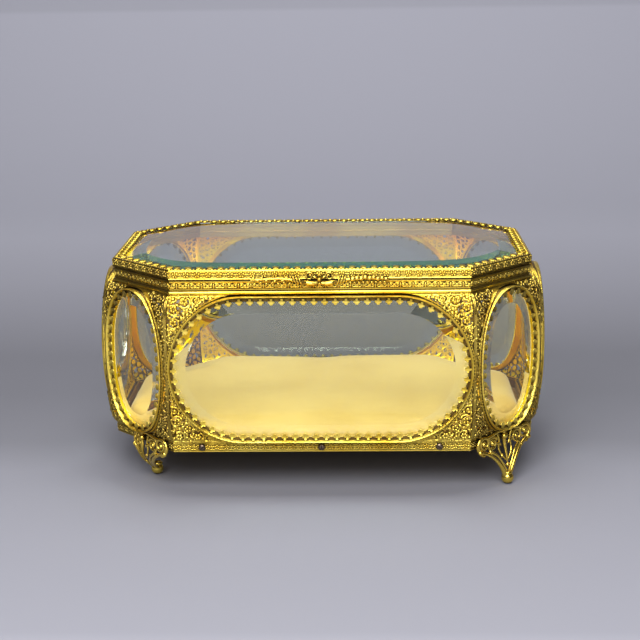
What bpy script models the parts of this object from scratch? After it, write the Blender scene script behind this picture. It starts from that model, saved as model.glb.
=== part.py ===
"""A glass-panelled trinket casket with a hinged lid, as separate pieces.

Metres, +Z up. The four ball toes stand on Z = 0, the origin is below the middle of the case, the front
faces -Y and the long side runs along X. Its plan is a rectangle with 45 degree corners, so it has eight
sides: two long, two short and four narrow corner sides. Every outline on it is the lid's outline moved
outwards or inwards by a distance, which is called the reach.
"""

import math

import bmesh
import bpy
from mathutils import Vector

MM = 0.001
GAP = 0.3 * MM  # the clearance between pieces that lie against each other

# The lid's outline, which every other outline is measured from
LID_LENGTH = 194 * MM
LID_WIDTH = 123 * MM
CORNER_CUT = 30 * MM

# Heights
BASE_BOTTOM = 20.3 * MM
BASE_BAND_HEIGHT = 4.7 * MM
RIM_BOTTOM = 93.7 * MM
RIM_TOP = 100.0 * MM
LID_BOTTOM = 100.6 * MM
LID_TOP = 105.0 * MM

# The base: an embossed band round a shallow pan, and the pad on it
BASE_REACH = 1.6 * MM
BASE_BAND_WALL = 1.2 * MM
PAN_THICKNESS = 0.9 * MM
PAN_FLANGE_TOP = 25.6 * MM
PAD_REACH = -3.2 * MM
PAD_EXTRA_CUT = 4.0 * MM  # its corners are cut back further than the case's
PAD_TOP = 32.6 * MM

# The upper rim, on which the lid comes down
RIM_REACH = -0.4 * MM
RIM_WALL = 1.0 * MM
MOULDING_REACH = 0.3 * MM
MOULDING_HEIGHT = 1.3 * MM

# The stamped side panels: swollen between rim and base
PANEL_TOP_REACH = 0.2 * MM
PANEL_MIDDLE_REACH = 4.3 * MM
PANEL_BOTTOM_REACH = 1.2 * MM
SHOULDER_HEIGHT = 13.0 * MM
SKIRT_HEIGHT = 18.0 * MM
PANEL_THICKNESS = 0.8 * MM

# The windows, each in a raised ring
WINDOW_HEIGHT = 61.2 * MM
WINDOW_CENTRE = 60.3 * MM
LONG_WINDOW = 130.0 * MM
END_WINDOW = 58.0 * MM
CORNER_WINDOW = 34.4 * MM
CORNER_ROUNDNESS = 2.3  # the exponent of the corner window's superellipse, where 2 is an ellipse
END_ROUNDNESS = 2.0
RING_WIDTH = 2.4 * MM
RING_WALL = 0.7 * MM
RING_REACH = 6.2 * MM
RING_LIP = 1.2 * MM
RING_BACK = 0.1 * MM
RING_ROUNDING = 0.5 * MM

# The bevelled panes behind the rings
PANE_THICKNESS = 3.2 * MM
PANE_EDGE = 1.6 * MM
PANE_BEVEL = 6.0 * MM

# The lid: a channel-shaped frame round one bevelled plate
FRAME_WALL = 0.9 * MM
FLANGE_WIDTH = 3.8 * MM
FLANGE_THICKNESS = 0.8 * MM
LEDGE_WIDTH = 2.6 * MM
LEDGE_THICKNESS = 0.6 * MM
LID_GLASS_TOP = 105.4 * MM
LID_GLASS_BEVEL = 9.0 * MM
LID_GLASS_BEVEL_DROP = 1.6 * MM

# The hinge behind the lid
HINGE_LENGTH = 100 * MM
KNUCKLES = 5
KNUCKLE_RADIUS = 1.3 * MM
BORE_RADIUS = 0.85 * MM
PIN_RADIUS = 0.55 * MM
HINGE_Y = LID_WIDTH / 2 + 1.7 * MM
HINGE_Z = (RIM_TOP + LID_BOTTOM) / 2
LEAF_THICKNESS = 0.8 * MM

# The thumb lift on the lid's front
LIFT_LENGTH = 62 * MM
LIFT_HEIGHT = 6.4 * MM
LIFT_CENTRE = 100.4 * MM
LIFT_THICKNESS = 2.6 * MM

# The feet, and the lean of the bent one
TOE_RADIUS = 2.9 * MM
TOE_REACH = 5.5 * MM
BENT_TOE = Vector((-5.0, -9.0)) * MM  # along the corner side, and its reach
FOOT_SPREAD = 13.0 * MM
FOOT_CROWN_HEIGHT = 4.6 * MM
FOOT_CROWN_HALF = 17.0 * MM
STRUT_RADIUS = 1.1 * MM

# The screws through the base band
SCREW_POSITIONS = {"left": -54.5 * MM, "middle": 0.0, "right": 53.5 * MM}
SCREW_HEIGHT = 22.8 * MM
SCREW_HEAD_RADIUS = 1.6 * MM
SCREW_HEAD_HEIGHT = 1.1 * MM
SCREW_SHANK_RADIUS = 0.6 * MM
SCREW_SHANK_LENGTH = 3.6 * MM
SCREW_HOLE_RADIUS = 0.95 * MM

HALF_LENGTH = LID_LENGTH / 2
HALF_WIDTH = LID_WIDTH / 2
CORNER_SLOPE = math.tan(math.radians(22.5))  # how much a half side grows with its reach
BASE_TOP = BASE_BOTTOM + BASE_BAND_HEIGHT
PANEL_TOP = RIM_BOTTOM - GAP
PANEL_BOTTOM = BASE_TOP + GAP
PANE_FRONT = RING_REACH - RING_LIP - GAP


def clear_scene():
    for old in list(bpy.data.objects):
        bpy.data.objects.remove(old)


def new_collection(name):
    collection = bpy.data.collections.new(name)
    bpy.context.scene.collection.children.link(collection)
    return collection


def new_material(name, colour, metallic, roughness, transmission=0.0):
    made = bpy.data.materials.new(name)
    made.use_nodes = True
    shader = made.node_tree.nodes["Principled BSDF"]
    shader.inputs["Base Color"].default_value = (*colour, 1.0)
    shader.inputs["Metallic"].default_value = metallic
    shader.inputs["Roughness"].default_value = roughness
    shader.inputs["Transmission Weight"].default_value = transmission
    made.diffuse_color = (*colour, 1.0)
    return made


def object_from(build, name, collection, material=None):
    """An object of the mesh in a bmesh, which is freed."""
    bmesh.ops.recalc_face_normals(build, faces=build.faces)
    mesh = bpy.data.meshes.new(name)
    build.to_mesh(mesh)
    build.free()
    return object_of(mesh, name, collection, material)


def object_of(mesh, name, collection, material=None):
    made = bpy.data.objects.new(name, mesh)
    collection.objects.link(made)
    if material:
        made.data.materials.clear()
        made.data.materials.append(material)
    if collection is cutters:
        made.hide_render = True
        made.display_type = "WIRE"
    return made


def boolean(target, operation, other):
    step = target.modifiers.new(operation.title(), "BOOLEAN")
    step.operation = operation
    step.solver = "EXACT"
    step.object = other


# Outlines


def octagon(reach, extra_cut=0.0):
    """The eight corners of the case's plan at a reach, anticlockwise from the front side's left end."""
    x = HALF_LENGTH + reach
    y = HALF_WIDTH + reach
    cut = CORNER_CUT + reach * (2 - math.sqrt(2)) + extra_cut
    quarter = [(x - cut, y), (x, y - cut)]
    return [
        (-quarter[0][0], -quarter[0][1]),
        (quarter[0][0], -quarter[0][1]),
        (quarter[1][0], -quarter[1][1]),
        quarter[1],
        quarter[0],
        (-quarter[0][0], quarter[0][1]),
        (-quarter[1][0], quarter[1][1]),
        (-quarter[1][0], -quarter[1][1]),
    ]


def stadium(length, height, grow, arc_points=13):
    """A window with straight upper and lower edges and half-round ends, as points in the panel's plane."""
    radius = height / 2 + grow
    straight = (length - height) / 2
    points = []
    for side in (1, -1):
        for step in range(arc_points):
            angle = side * math.pi / 2 - math.pi * step / (arc_points - 1)
            points.append((side * straight + radius * math.cos(angle), radius * math.sin(angle)))
    return points


def oval(width, height, grow, roundness, count=24):
    """A superellipse, as points in the panel's plane."""
    points = []
    for step in range(count):
        angle = 2 * math.pi * step / count
        cosine, sine = math.cos(angle), math.sin(angle)
        across = math.copysign(abs(cosine) ** (2 / roundness), cosine)
        up = math.copysign(abs(sine) ** (2 / roundness), sine)
        points.append(((width / 2 + grow) * across, (height / 2 + grow) * up))
    return points


def swell(height):
    """A panel's reach at a height: a quarter ellipse out of the rim, upright, and one in to the base."""
    shoulder = PANEL_TOP - SHOULDER_HEIGHT
    skirt = PANEL_BOTTOM + SKIRT_HEIGHT
    if height > shoulder:
        part = (height - shoulder) / SHOULDER_HEIGHT
        return PANEL_TOP_REACH + (PANEL_MIDDLE_REACH - PANEL_TOP_REACH) * math.sqrt(1 - part**2)
    if height < skirt:
        part = (skirt - height) / SKIRT_HEIGHT
        return PANEL_BOTTOM_REACH + (PANEL_MIDDLE_REACH - PANEL_BOTTOM_REACH) * math.sqrt(1 - part**2)
    return PANEL_MIDDLE_REACH


# Solids


def ring_of_octagons(name, section, material):
    """A closed section of (reach, height) points, carried round the eight sides with mitred corners."""
    build = bmesh.new()
    reach, height = section[0]
    loop = [build.verts.new((x, y, height)) for x, y in octagon(reach)]
    edges = [build.edges.new((loop[i - 1], loop[i])) for i in range(len(loop))]
    for reach, height in section[1:] + section[:1]:
        # each point of the section extrudes the loop of eight edges to its own octagon
        made = bmesh.ops.extrude_edge_only(build, edges=edges)["geom"]
        edges = [part for part in made if isinstance(part, bmesh.types.BMEdge)]
        corners = octagon(reach)
        for spot in (part for part in made if isinstance(part, bmesh.types.BMVert)):
            turn = math.atan2(spot.co.y, spot.co.x)
            nearest = min(corners, key=lambda c: abs(math.remainder(math.atan2(c[1], c[0]) - turn, math.tau)))
            spot.co = (*nearest, height)
    bmesh.ops.remove_doubles(build, verts=build.verts, dist=0.01 * MM)
    return object_from(build, name, pieces, material)


def plate_from(build, outline, to_point, push):
    """A flat face through the outline, extruded by a vector. It returns the extruded face."""
    face = build.faces.new([build.verts.new(to_point(*point)) for point in outline])
    moved = bmesh.ops.extrude_face_region(build, geom=[face])["geom"]
    bmesh.ops.translate(build, verts=[v for v in moved if isinstance(v, bmesh.types.BMVert)], vec=push)
    return next(f for f in moved if isinstance(f, bmesh.types.BMFace))


def upright_plug(name, outline, front, back):
    """A solid with its outline in the panel's plane, between two reaches of a panel that faces -Y."""
    build = bmesh.new()
    plate_from(build, outline, lambda x, z: (x, -back, z + WINDOW_CENTRE), (0, back - front, 0))
    return object_from(build, name, cutters)


def box_mesh(build, low, high):
    """A box between two corners, added to a bmesh."""
    made = bmesh.ops.create_cube(build, size=1.0)["verts"]
    size = [h - l for l, h in zip(low, high)]
    middle = [(h + l) / 2 for l, h in zip(low, high)]
    bmesh.ops.scale(build, verts=made, vec=size)
    bmesh.ops.translate(build, verts=made, vec=middle)


def turned(name, profile, collection, material=None, steps=16):
    """A profile of (radius, height) points, top to bottom, turned about Z."""
    build = bmesh.new()
    spots = [build.verts.new((radius, 0, height)) for radius, height in profile]
    for first, second in zip(spots, spots[1:]):
        build.edges.new((first, second))
    mesh = bpy.data.meshes.new(name)
    build.to_mesh(mesh)
    build.free()
    made = object_of(mesh, name, collection, material)
    screw = made.modifiers.new("Turn", "SCREW")
    screw.axis = "Z"
    screw.steps = screw.render_steps = steps
    screw.use_merge_vertices = True
    screw.merge_threshold = 0.00001
    return made


def tube(name, points, radius, collection):
    """A mesh tube with closed ends through the points."""
    curve = bpy.data.curves.new(name, "CURVE")
    curve.dimensions = "3D"
    curve.bevel_depth = radius
    curve.bevel_resolution = 1
    curve.use_fill_caps = True
    spline = curve.splines.new("POLY")
    spline.points.add(len(points) - 1)
    for spot, point in zip(spline.points, points):
        spot.co = (*point, 1.0)
    drawn = bpy.data.objects.new(name, curve)
    collection.objects.link(drawn)
    bpy.context.view_layer.update()
    mesh = bpy.data.meshes.new_from_object(drawn.evaluated_get(bpy.context.evaluated_depsgraph_get()))
    bpy.data.objects.remove(drawn)
    build = bmesh.new()
    build.from_mesh(mesh)
    bmesh.ops.remove_doubles(build, verts=build.verts, dist=0.00001)
    bpy.data.meshes.remove(mesh)
    return object_from(build, name, collection)


# Materials

clear_scene()
pieces = new_collection("trinket_casket")
cutters = new_collection("cutters")

gilt_brass = new_material("gilt_brass", (0.83, 0.62, 0.14), 1.0, 0.30)
aged_brass = new_material("aged_brass", (0.62, 0.42, 0.10), 1.0, 0.42)
bevelled_glass = new_material("bevelled_glass", (0.78, 0.88, 0.86), 0.0, 0.02, 1.0)
cream_satin = new_material("cream_satin", (0.90, 0.77, 0.45), 0.0, 0.65)
dark_steel = new_material("dark_steel", (0.16, 0.13, 0.11), 1.0, 0.35)

# Each side of the case: its name, the middle of the side at no reach, the turn from facing front, half its
# length at no reach, and its window's outline
corner_x = HALF_LENGTH - CORNER_CUT / 2
corner_y = HALF_WIDTH - CORNER_CUT / 2
corner_half = CORNER_CUT / math.sqrt(2)
long_half = HALF_LENGTH - CORNER_CUT
end_half = HALF_WIDTH - CORNER_CUT


def long_window(grow):
    return stadium(LONG_WINDOW, WINDOW_HEIGHT, grow)


def end_window(grow):
    return oval(END_WINDOW, WINDOW_HEIGHT, grow, END_ROUNDNESS)


def corner_window(grow):
    return oval(CORNER_WINDOW, WINDOW_HEIGHT, grow, CORNER_ROUNDNESS)


SIDES = [
    ("front", (0, -HALF_WIDTH), 0, long_half, long_window),
    ("front_right", (corner_x, -corner_y), 45, corner_half, corner_window),
    ("right", (HALF_LENGTH, 0), 90, end_half, end_window),
    ("rear_right", (corner_x, corner_y), 135, corner_half, corner_window),
    ("rear", (0, HALF_WIDTH), 180, long_half, long_window),
    ("rear_left", (-corner_x, corner_y), 225, corner_half, corner_window),
    ("left", (-HALF_LENGTH, 0), 270, end_half, end_window),
    ("front_left", (-corner_x, -corner_y), 315, corner_half, corner_window),
]


def place_on_side(piece, middle, turn):
    piece.location = (*middle, 0)
    piece.rotation_euler = (0, 0, math.radians(turn))
    return piece


# Side panels: a swollen sheet, a raised ring on it, and the stepped hole in which the pane sits


def sheet_mesh(name, half):
    """The open surface of a panel that faces -Y, from the left post to the right post, base to rim."""
    rows = 9
    build = bmesh.new()
    bmesh.ops.create_grid(build, x_segments=1, y_segments=rows, size=1.0)
    for spot in build.verts:
        # the rows crowd towards the top and the bottom, where the sheet curves most
        share = (1 - math.cos(math.pi * (spot.co.y + 1) / 2)) / 2
        height = PANEL_BOTTOM + share * (PANEL_TOP - PANEL_BOTTOM)
        reach = swell(height)
        across = math.copysign(half + CORNER_SLOPE * reach - GAP / 2, spot.co.x)
        spot.co = (across, -reach, height)
    return object_from(build, name, pieces, gilt_brass)


def sector(name, half):
    """The space between the two mitre planes of a side, which keeps a panel off its neighbours."""
    front, back = RING_REACH + 3 * MM, -12 * MM
    outline = [(-1, back), (1, back), (1, front), (-1, front)]
    build = bmesh.new()
    plate_from(
        build,
        outline,
        lambda end, reach: (end * (half + CORNER_SLOPE * reach - GAP / 2), -reach, 0),
        (0, 0, LID_TOP),
    )
    return object_from(build, name, cutters)


def side_panel(side, middle, turn, half, window):
    panel = place_on_side(sheet_mesh(f"panel_{side}", half), middle, turn)
    thick = panel.modifiers.new("Thickness", "SOLIDIFY")
    thick.thickness = PANEL_THICKNESS
    thick.offset = -1
    ring = upright_plug(f"ring_body_{side}", window(RING_WIDTH), RING_REACH, RING_BACK)
    rounding = ring.modifiers.new("Rounding", "BEVEL")
    rounding.width = RING_ROUNDING
    rounding.segments = 1
    rounding.limit_method = "ANGLE"
    rounding.angle_limit = math.radians(60)
    seat = upright_plug(f"pane_seat_{side}", window(RING_WIDTH - RING_WALL), PANE_FRONT + GAP, -14 * MM)
    opening = upright_plug(f"window_{side}", window(0), RING_REACH + 2 * MM, -14 * MM)
    limits = sector(f"mitre_planes_{side}", half)
    for helper in (ring, seat, opening, limits):
        place_on_side(helper, middle, turn)
    boolean(panel, "UNION", ring)
    boolean(panel, "DIFFERENCE", seat)
    boolean(panel, "DIFFERENCE", opening)
    boolean(panel, "INTERSECT", limits)


def side_pane(side, middle, turn, window):
    """A flat pane with a ground bevel round its outer face, seated behind the ring's lip."""
    build = bmesh.new()
    outline = window(RING_WIDTH - RING_WALL - GAP)
    back = PANE_FRONT - PANE_THICKNESS
    edge = plate_from(
        build, outline, lambda x, z: (x, -back, z + WINDOW_CENTRE), (0, -PANE_EDGE, 0)
    )
    bmesh.ops.recalc_face_normals(build, faces=build.faces)
    bmesh.ops.inset_region(
        build, faces=[edge], thickness=PANE_BEVEL, depth=PANE_THICKNESS - PANE_EDGE, use_even_offset=True
    )
    place_on_side(object_from(build, f"glass_{side}", pieces, bevelled_glass), middle, turn)


for name, middle, turn, half, window in SIDES:
    side_panel(name, middle, turn, half, window)
    side_pane(name, middle, turn, window)

# The base: band, pan and pad

band_inner = BASE_REACH - BASE_BAND_WALL
base_band = ring_of_octagons(
    "base_band",
    [
        (BASE_REACH, BASE_BOTTOM),
        (BASE_REACH, BASE_TOP),
        (band_inner, BASE_TOP),
        (band_inner, BASE_BOTTOM),
    ],
    gilt_brass,
)


def base_pan():
    """A shallow tray: a floor with an upturned flange, which the screws go through."""
    flange_outer = band_inner - GAP
    flange_inner = flange_outer - PAN_THICKNESS
    floor_bottom = BASE_BOTTOM + 0.4 * MM
    build = bmesh.new()
    top = plate_from(
        build,
        octagon(flange_outer),
        lambda x, y: (x, y, floor_bottom),
        (0, 0, PAN_FLANGE_TOP - floor_bottom),
    )
    pan = object_from(build, "base_pan", pieces, aged_brass)
    build = bmesh.new()
    plate_from(
        build,
        octagon(flange_inner),
        lambda x, y: (x, y, floor_bottom + PAN_THICKNESS),
        (0, 0, PAN_FLANGE_TOP),
    )
    boolean(pan, "DIFFERENCE", object_from(build, "pan_hollow", cutters))
    return pan


pan = base_pan()


def pad():
    """The padded floor: an eight-sided cushion with soft edges, a little crowned."""
    bottom = BASE_BOTTOM + 0.4 * MM + PAN_THICKNESS + GAP
    build = bmesh.new()
    plate_from(
        build, octagon(PAD_REACH, PAD_EXTRA_CUT), lambda x, y: (x, y, bottom), (0, 0, PAD_TOP - bottom)
    )
    cushion = object_from(build, "cushion", pieces, cream_satin)
    soft = cushion.modifiers.new("Soft edges", "BEVEL")
    soft.width = 3.0 * MM
    soft.segments = 3
    soft.limit_method = "ANGLE"
    soft.angle_limit = math.radians(60)


pad()

# The upper rim: an embossed band over a plain moulding

rim_inner = RIM_REACH - RIM_WALL
moulding_top = RIM_BOTTOM + MOULDING_HEIGHT
ring_of_octagons(
    "upper_rim",
    [
        (RIM_REACH, RIM_TOP),
        (RIM_REACH, moulding_top + 0.8 * MM),
        (RIM_REACH - 0.4 * MM, moulding_top + 0.5 * MM),
        (RIM_REACH - 0.4 * MM, moulding_top + 0.2 * MM),
        (MOULDING_REACH, moulding_top),
        (MOULDING_REACH, RIM_BOTTOM),
        (rim_inner, RIM_BOTTOM),
        (rim_inner, RIM_TOP),
    ],
    gilt_brass,
)

# The lid: a channel section that grips the glass between its flange and its ledge

ring_of_octagons(
    "lid_frame",
    [
        (0, LID_BOTTOM),
        (0, LID_TOP),
        (-FLANGE_WIDTH, LID_TOP),
        (-FLANGE_WIDTH, LID_TOP - FLANGE_THICKNESS),
        (-FRAME_WALL, LID_TOP - FLANGE_THICKNESS),
        (-FRAME_WALL, LID_BOTTOM + LEDGE_THICKNESS),
        (-LEDGE_WIDTH, LID_BOTTOM + LEDGE_THICKNESS),
        (-LEDGE_WIDTH, LID_BOTTOM),
    ],
    gilt_brass,
)


def lid_plate():
    """One thick plate: its edge lies in the channel, and a wide bevel rises to the clear middle."""
    bottom = LID_BOTTOM + LEDGE_THICKNESS + GAP
    edge_top = LID_TOP - FLANGE_THICKNESS - GAP
    edge_reach = -FRAME_WALL - GAP
    bevel_start = -FLANGE_WIDTH - GAP
    build = bmesh.new()
    edge = plate_from(
        build, octagon(edge_reach), lambda x, y: (x, y, bottom), (0, 0, edge_top - bottom)
    )
    bmesh.ops.recalc_face_normals(build, faces=build.faces)
    bmesh.ops.inset_region(build, faces=[edge], thickness=edge_reach - bevel_start, use_even_offset=True)
    bmesh.ops.inset_region(
        build, faces=[edge], thickness=LID_GLASS_BEVEL, depth=LID_GLASS_TOP - edge_top, use_even_offset=True
    )
    object_from(build, "lid_glass", pieces, bevelled_glass)


lid_plate()


def thumb_lift():
    """The cast ornament by which the lid is raised: a bow with a leafy arm either side."""
    steps = 36
    outline = []
    for step in range(steps + 1):
        share = 2 * step / steps - 1
        rise = 0.42 + 0.58 * math.exp(-((share / 0.22) ** 2)) + 0.16 * math.cos(9 * math.pi * share)
        outline.append((share * LIFT_LENGTH / 2, rise * LIFT_HEIGHT / 2 * (1 - 0.7 * share**8)))
    lower = [(x, -z) for x, z in reversed(outline)]
    front = GAP + LIFT_THICKNESS
    build = bmesh.new()
    plate_from(
        build,
        outline + lower,
        lambda x, z: (x, -HALF_WIDTH - GAP, z + LIFT_CENTRE),
        (0, GAP - front, 0),
    )
    object_from(build, "thumb_lift", pieces, gilt_brass)


thumb_lift()

# The hinge: two leaves whose rolled knuckles take turns along one pin


def knuckle_spans(first):
    """The ends of every second knuckle, from the first or the second one."""
    width = HINGE_LENGTH / KNUCKLES
    starts = [-HINGE_LENGTH / 2 + width * i for i in range(first, KNUCKLES, 2)]
    return [(start + GAP / 2, start + width - GAP / 2) for start in starts]


def along_x(piece, x, y=HINGE_Y, z=HINGE_Z):
    """Lays a turned piece along X with its lower end at x."""
    piece.location = (x, y, z)
    piece.rotation_euler = (0, math.radians(90), 0)
    return piece


def barrel(name, radius, start, end, collection, material=None):
    length = end - start
    profile = [(0, length), (radius, length), (radius, 0), (0, 0)]
    return along_x(turned(name, profile, collection, material), start)


def hinge_leaf(name, first, near, far, tab_end, face):
    """A leaf between heights near and far on a wall at Y = face, with tabs that reach its own knuckles."""
    outer = face + GAP + LEAF_THICKNESS
    build = bmesh.new()
    low, high = sorted((near, far))
    box_mesh(build, (-HINGE_LENGTH / 2, face + GAP, low), (HINGE_LENGTH / 2, outer, high))
    leaf = object_from(build, name, pieces, aged_brass)
    for i, (start, end) in enumerate(knuckle_spans(first)):
        build = bmesh.new()
        low, high = sorted((tab_end, (near + far) / 2))
        box_mesh(build, (start, face + GAP + 0.05 * MM, low), (end, outer - 0.05 * MM, high))
        boolean(leaf, "UNION", object_from(build, f"{name}_tab_{i}", cutters))
        boolean(leaf, "UNION", barrel(f"{name}_knuckle_{i}", KNUCKLE_RADIUS, start, end, cutters))
    half = HINGE_LENGTH / 2 + MM
    boolean(leaf, "DIFFERENCE", barrel(f"{name}_bore", BORE_RADIUS, -half, half, cutters))


leaf_clearance = KNUCKLE_RADIUS + GAP
hinge_leaf(
    "hinge_leaf_case",
    0,
    HINGE_Z - leaf_clearance,
    moulding_top + 0.6 * MM,
    HINGE_Z - 0.4 * MM,
    HALF_WIDTH + RIM_REACH + 0.35 * MM,
)
hinge_leaf(
    "hinge_leaf_lid",
    1,
    HINGE_Z + leaf_clearance,
    LID_TOP - 0.4 * MM,
    HINGE_Z + 0.4 * MM,
    HALF_WIDTH,
)
pin_half = HINGE_LENGTH / 2 + 0.4 * MM
barrel("hinge_pin", PIN_RADIUS, -pin_half, pin_half, pieces, dark_steel)

# The feet: a crown on the base band's corner side, two struts that close on a ball toe, and an inner pair


def foot(side, middle, turn, toe):
    """toe is the ball's centre: along the side, and its reach."""
    crown_reach = BASE_REACH + GAP + STRUT_RADIUS
    build = bmesh.new()
    box_mesh(
        build,
        (-FOOT_CROWN_HALF, -crown_reach - STRUT_RADIUS, BASE_BOTTOM - 2.2 * MM),
        (FOOT_CROWN_HALF, -crown_reach + STRUT_RADIUS, BASE_BOTTOM + FOOT_CROWN_HEIGHT),
    )
    crown = place_on_side(object_from(build, f"foot_{side}", pieces, gilt_brass), middle, turn)
    ball = bmesh.new()
    bmesh.ops.create_uvsphere(ball, u_segments=14, v_segments=9, radius=TOE_RADIUS)
    bmesh.ops.translate(ball, verts=ball.verts, vec=(toe[0], -toe[1], TOE_RADIUS))
    helpers = [object_from(ball, f"toe_{side}", cutters)]
    start_height = BASE_BOTTOM - 1.2 * MM
    for hand in (-1, 1):
        for spread, bow in ((FOOT_SPREAD, 0.62), (0.42 * FOOT_SPREAD, 1.0)):
            path = []
            for step in range(8):
                share = step / 7
                # a strut leaves the crown level and turns down on its way to the toe
                across = hand * spread * (1 - share**bow)
                drop = share ** (1.25 + 0.5 * (1 - bow))
                reach = crown_reach + (toe[1] - crown_reach) * share
                height = start_height + (TOE_RADIUS - start_height) * drop
                path.append((across + toe[0] * share, -reach, height))
            helpers.append(tube(f"strut_{side}_{len(helpers)}", path, STRUT_RADIUS, cutters))
    for helper in helpers:
        place_on_side(helper, middle, turn)
        boolean(crown, "UNION", helper)


for name, middle, turn, _, window in SIDES:
    if window is corner_window:
        foot(name, middle, turn, BENT_TOE if name == "front_left" else (0.0, TOE_REACH))

# The screws, three through the front of the base band and three through the rear

outer_face = HALF_WIDTH + BASE_REACH
for side, facing in (("front", 1), ("rear", -1)):
    for spot, x in SCREW_POSITIONS.items():
        dome = [
            (SCREW_HEAD_RADIUS * math.sin(math.radians(a)), SCREW_HEAD_HEIGHT * math.cos(math.radians(a)))
            for a in (0, 30, 60, 85)
        ]
        shank = [
            (SCREW_HEAD_RADIUS, 0),
            (SCREW_SHANK_RADIUS, 0),
            (SCREW_SHANK_RADIUS, -SCREW_SHANK_LENGTH),
            (0, -SCREW_SHANK_LENGTH),
        ]
        screw = turned(f"screw_{side}_{spot}", dome + shank, pieces, dark_steel, steps=14)
        screw.location = (x * facing, -facing * (outer_face + GAP), SCREW_HEIGHT)
        screw.rotation_euler = (math.radians(90 * facing), 0, 0)
        drill = turned(
            f"screw_hole_{side}_{spot}",
            [(0, 4 * MM), (SCREW_HOLE_RADIUS, 4 * MM), (SCREW_HOLE_RADIUS, -4 * MM), (0, -4 * MM)],
            cutters,
            steps=12,
        )
        drill.location = (x * facing, -facing * outer_face, SCREW_HEIGHT)
        drill.rotation_euler = (math.radians(90), 0, 0)
        boolean(base_band, "DIFFERENCE", drill)
        boolean(pan, "DIFFERENCE", drill)

for piece in pieces.objects:
    piece.data.shade_smooth()
    piece.data.set_sharp_from_angle(angle=math.radians(35))
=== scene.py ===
# %% [markdown]
# # A gilt filigree trinket casket, with its looks
# The casket is an eight-sided case of pierced brass panels, each with a bevelled pane in a raised ring. A
# hinged lid holds one thick plate of bevelled glass, and a satin pad lies on the floor inside. The CAD model
# already has the sizes, places and motion. This file dresses each of its pieces: it builds the cast and
# stamped ornament in fine meshes, and gives every piece its finish.

# %% Load the casket's frame
import math
import random

import bpy
import numpy as np
from mathutils import Matrix, Vector


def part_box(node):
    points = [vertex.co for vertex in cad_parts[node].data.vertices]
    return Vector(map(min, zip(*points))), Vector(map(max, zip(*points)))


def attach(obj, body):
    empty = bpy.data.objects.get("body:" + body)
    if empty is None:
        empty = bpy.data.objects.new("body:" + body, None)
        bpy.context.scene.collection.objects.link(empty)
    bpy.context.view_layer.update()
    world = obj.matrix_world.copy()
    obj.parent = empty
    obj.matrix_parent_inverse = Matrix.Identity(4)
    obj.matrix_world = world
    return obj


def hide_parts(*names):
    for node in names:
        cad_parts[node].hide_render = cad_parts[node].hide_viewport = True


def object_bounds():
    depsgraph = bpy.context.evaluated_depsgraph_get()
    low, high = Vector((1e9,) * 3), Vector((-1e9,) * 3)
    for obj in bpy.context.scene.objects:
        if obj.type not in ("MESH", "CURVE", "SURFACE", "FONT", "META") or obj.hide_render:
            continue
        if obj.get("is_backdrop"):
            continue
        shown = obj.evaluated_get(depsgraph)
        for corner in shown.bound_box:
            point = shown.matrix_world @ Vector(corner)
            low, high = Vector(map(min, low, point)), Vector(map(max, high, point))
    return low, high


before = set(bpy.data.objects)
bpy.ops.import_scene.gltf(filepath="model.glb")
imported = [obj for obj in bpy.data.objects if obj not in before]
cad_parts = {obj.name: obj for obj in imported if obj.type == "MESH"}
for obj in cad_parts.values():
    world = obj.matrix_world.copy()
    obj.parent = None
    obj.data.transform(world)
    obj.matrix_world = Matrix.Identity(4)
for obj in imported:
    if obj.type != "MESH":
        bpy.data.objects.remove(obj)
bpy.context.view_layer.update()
MM = 0.001

# %% [markdown]
# ## The camera
# The camera stands in front of the casket, a little above the lid, and looks down at about 14 degrees with a
# long lens, so that the upright lines stay nearly upright. It is placed with three turns: about the upright
# axis, then down, then a slight roll about its own line of sight.

# %% Place the camera
CAMERA_PLACE = Vector((18.6, -665.2, 237.8)) * MM
CAMERA_HEADING, CAMERA_DIP, CAMERA_ROLL = (math.radians(angle) for angle in (-1.76, 14.47, -0.85))
CAMERA_LENS = 78.75

bpy.ops.object.camera_add()
camera = bpy.context.object
camera.name = "camera"
camera.data.lens = CAMERA_LENS
camera.matrix_world = (
    Matrix.Translation(CAMERA_PLACE)
    @ Matrix.Rotation(-CAMERA_HEADING, 4, "Z")
    @ Matrix.Rotation(math.pi / 2 - CAMERA_DIP, 4, "X")
    @ Matrix.Rotation(CAMERA_ROLL, 4, "Z")
)
bpy.context.scene.camera = camera
print("camera", round(CAMERA_PLACE.length, 3), "m from the casket")

# %% [markdown]
# ## The case's eight sides
# Every ornament is drawn flat and then laid on a side, so each side gets one matrix: it turns a piece that is
# modelled facing the front to where the side is. The plan is the lid's outline moved out or in by a distance
# that is called the reach, and a side grows with its reach because the corners are mitred.

# %% Measure the sides
lid_low, lid_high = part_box("lid_frame")
rim_low, rim_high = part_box("upper_rim")
band_low, band_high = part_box("base_band")
panel_low, panel_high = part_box("panel_front")
HALF_LENGTH, HALF_WIDTH = lid_high.x, lid_high.y
CORNER_CUT = 30 * MM
CORNER_SLOPE = math.tan(math.radians(22.5))
PANEL_BOTTOM, PANEL_TOP = panel_low.z, panel_high.z

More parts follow.
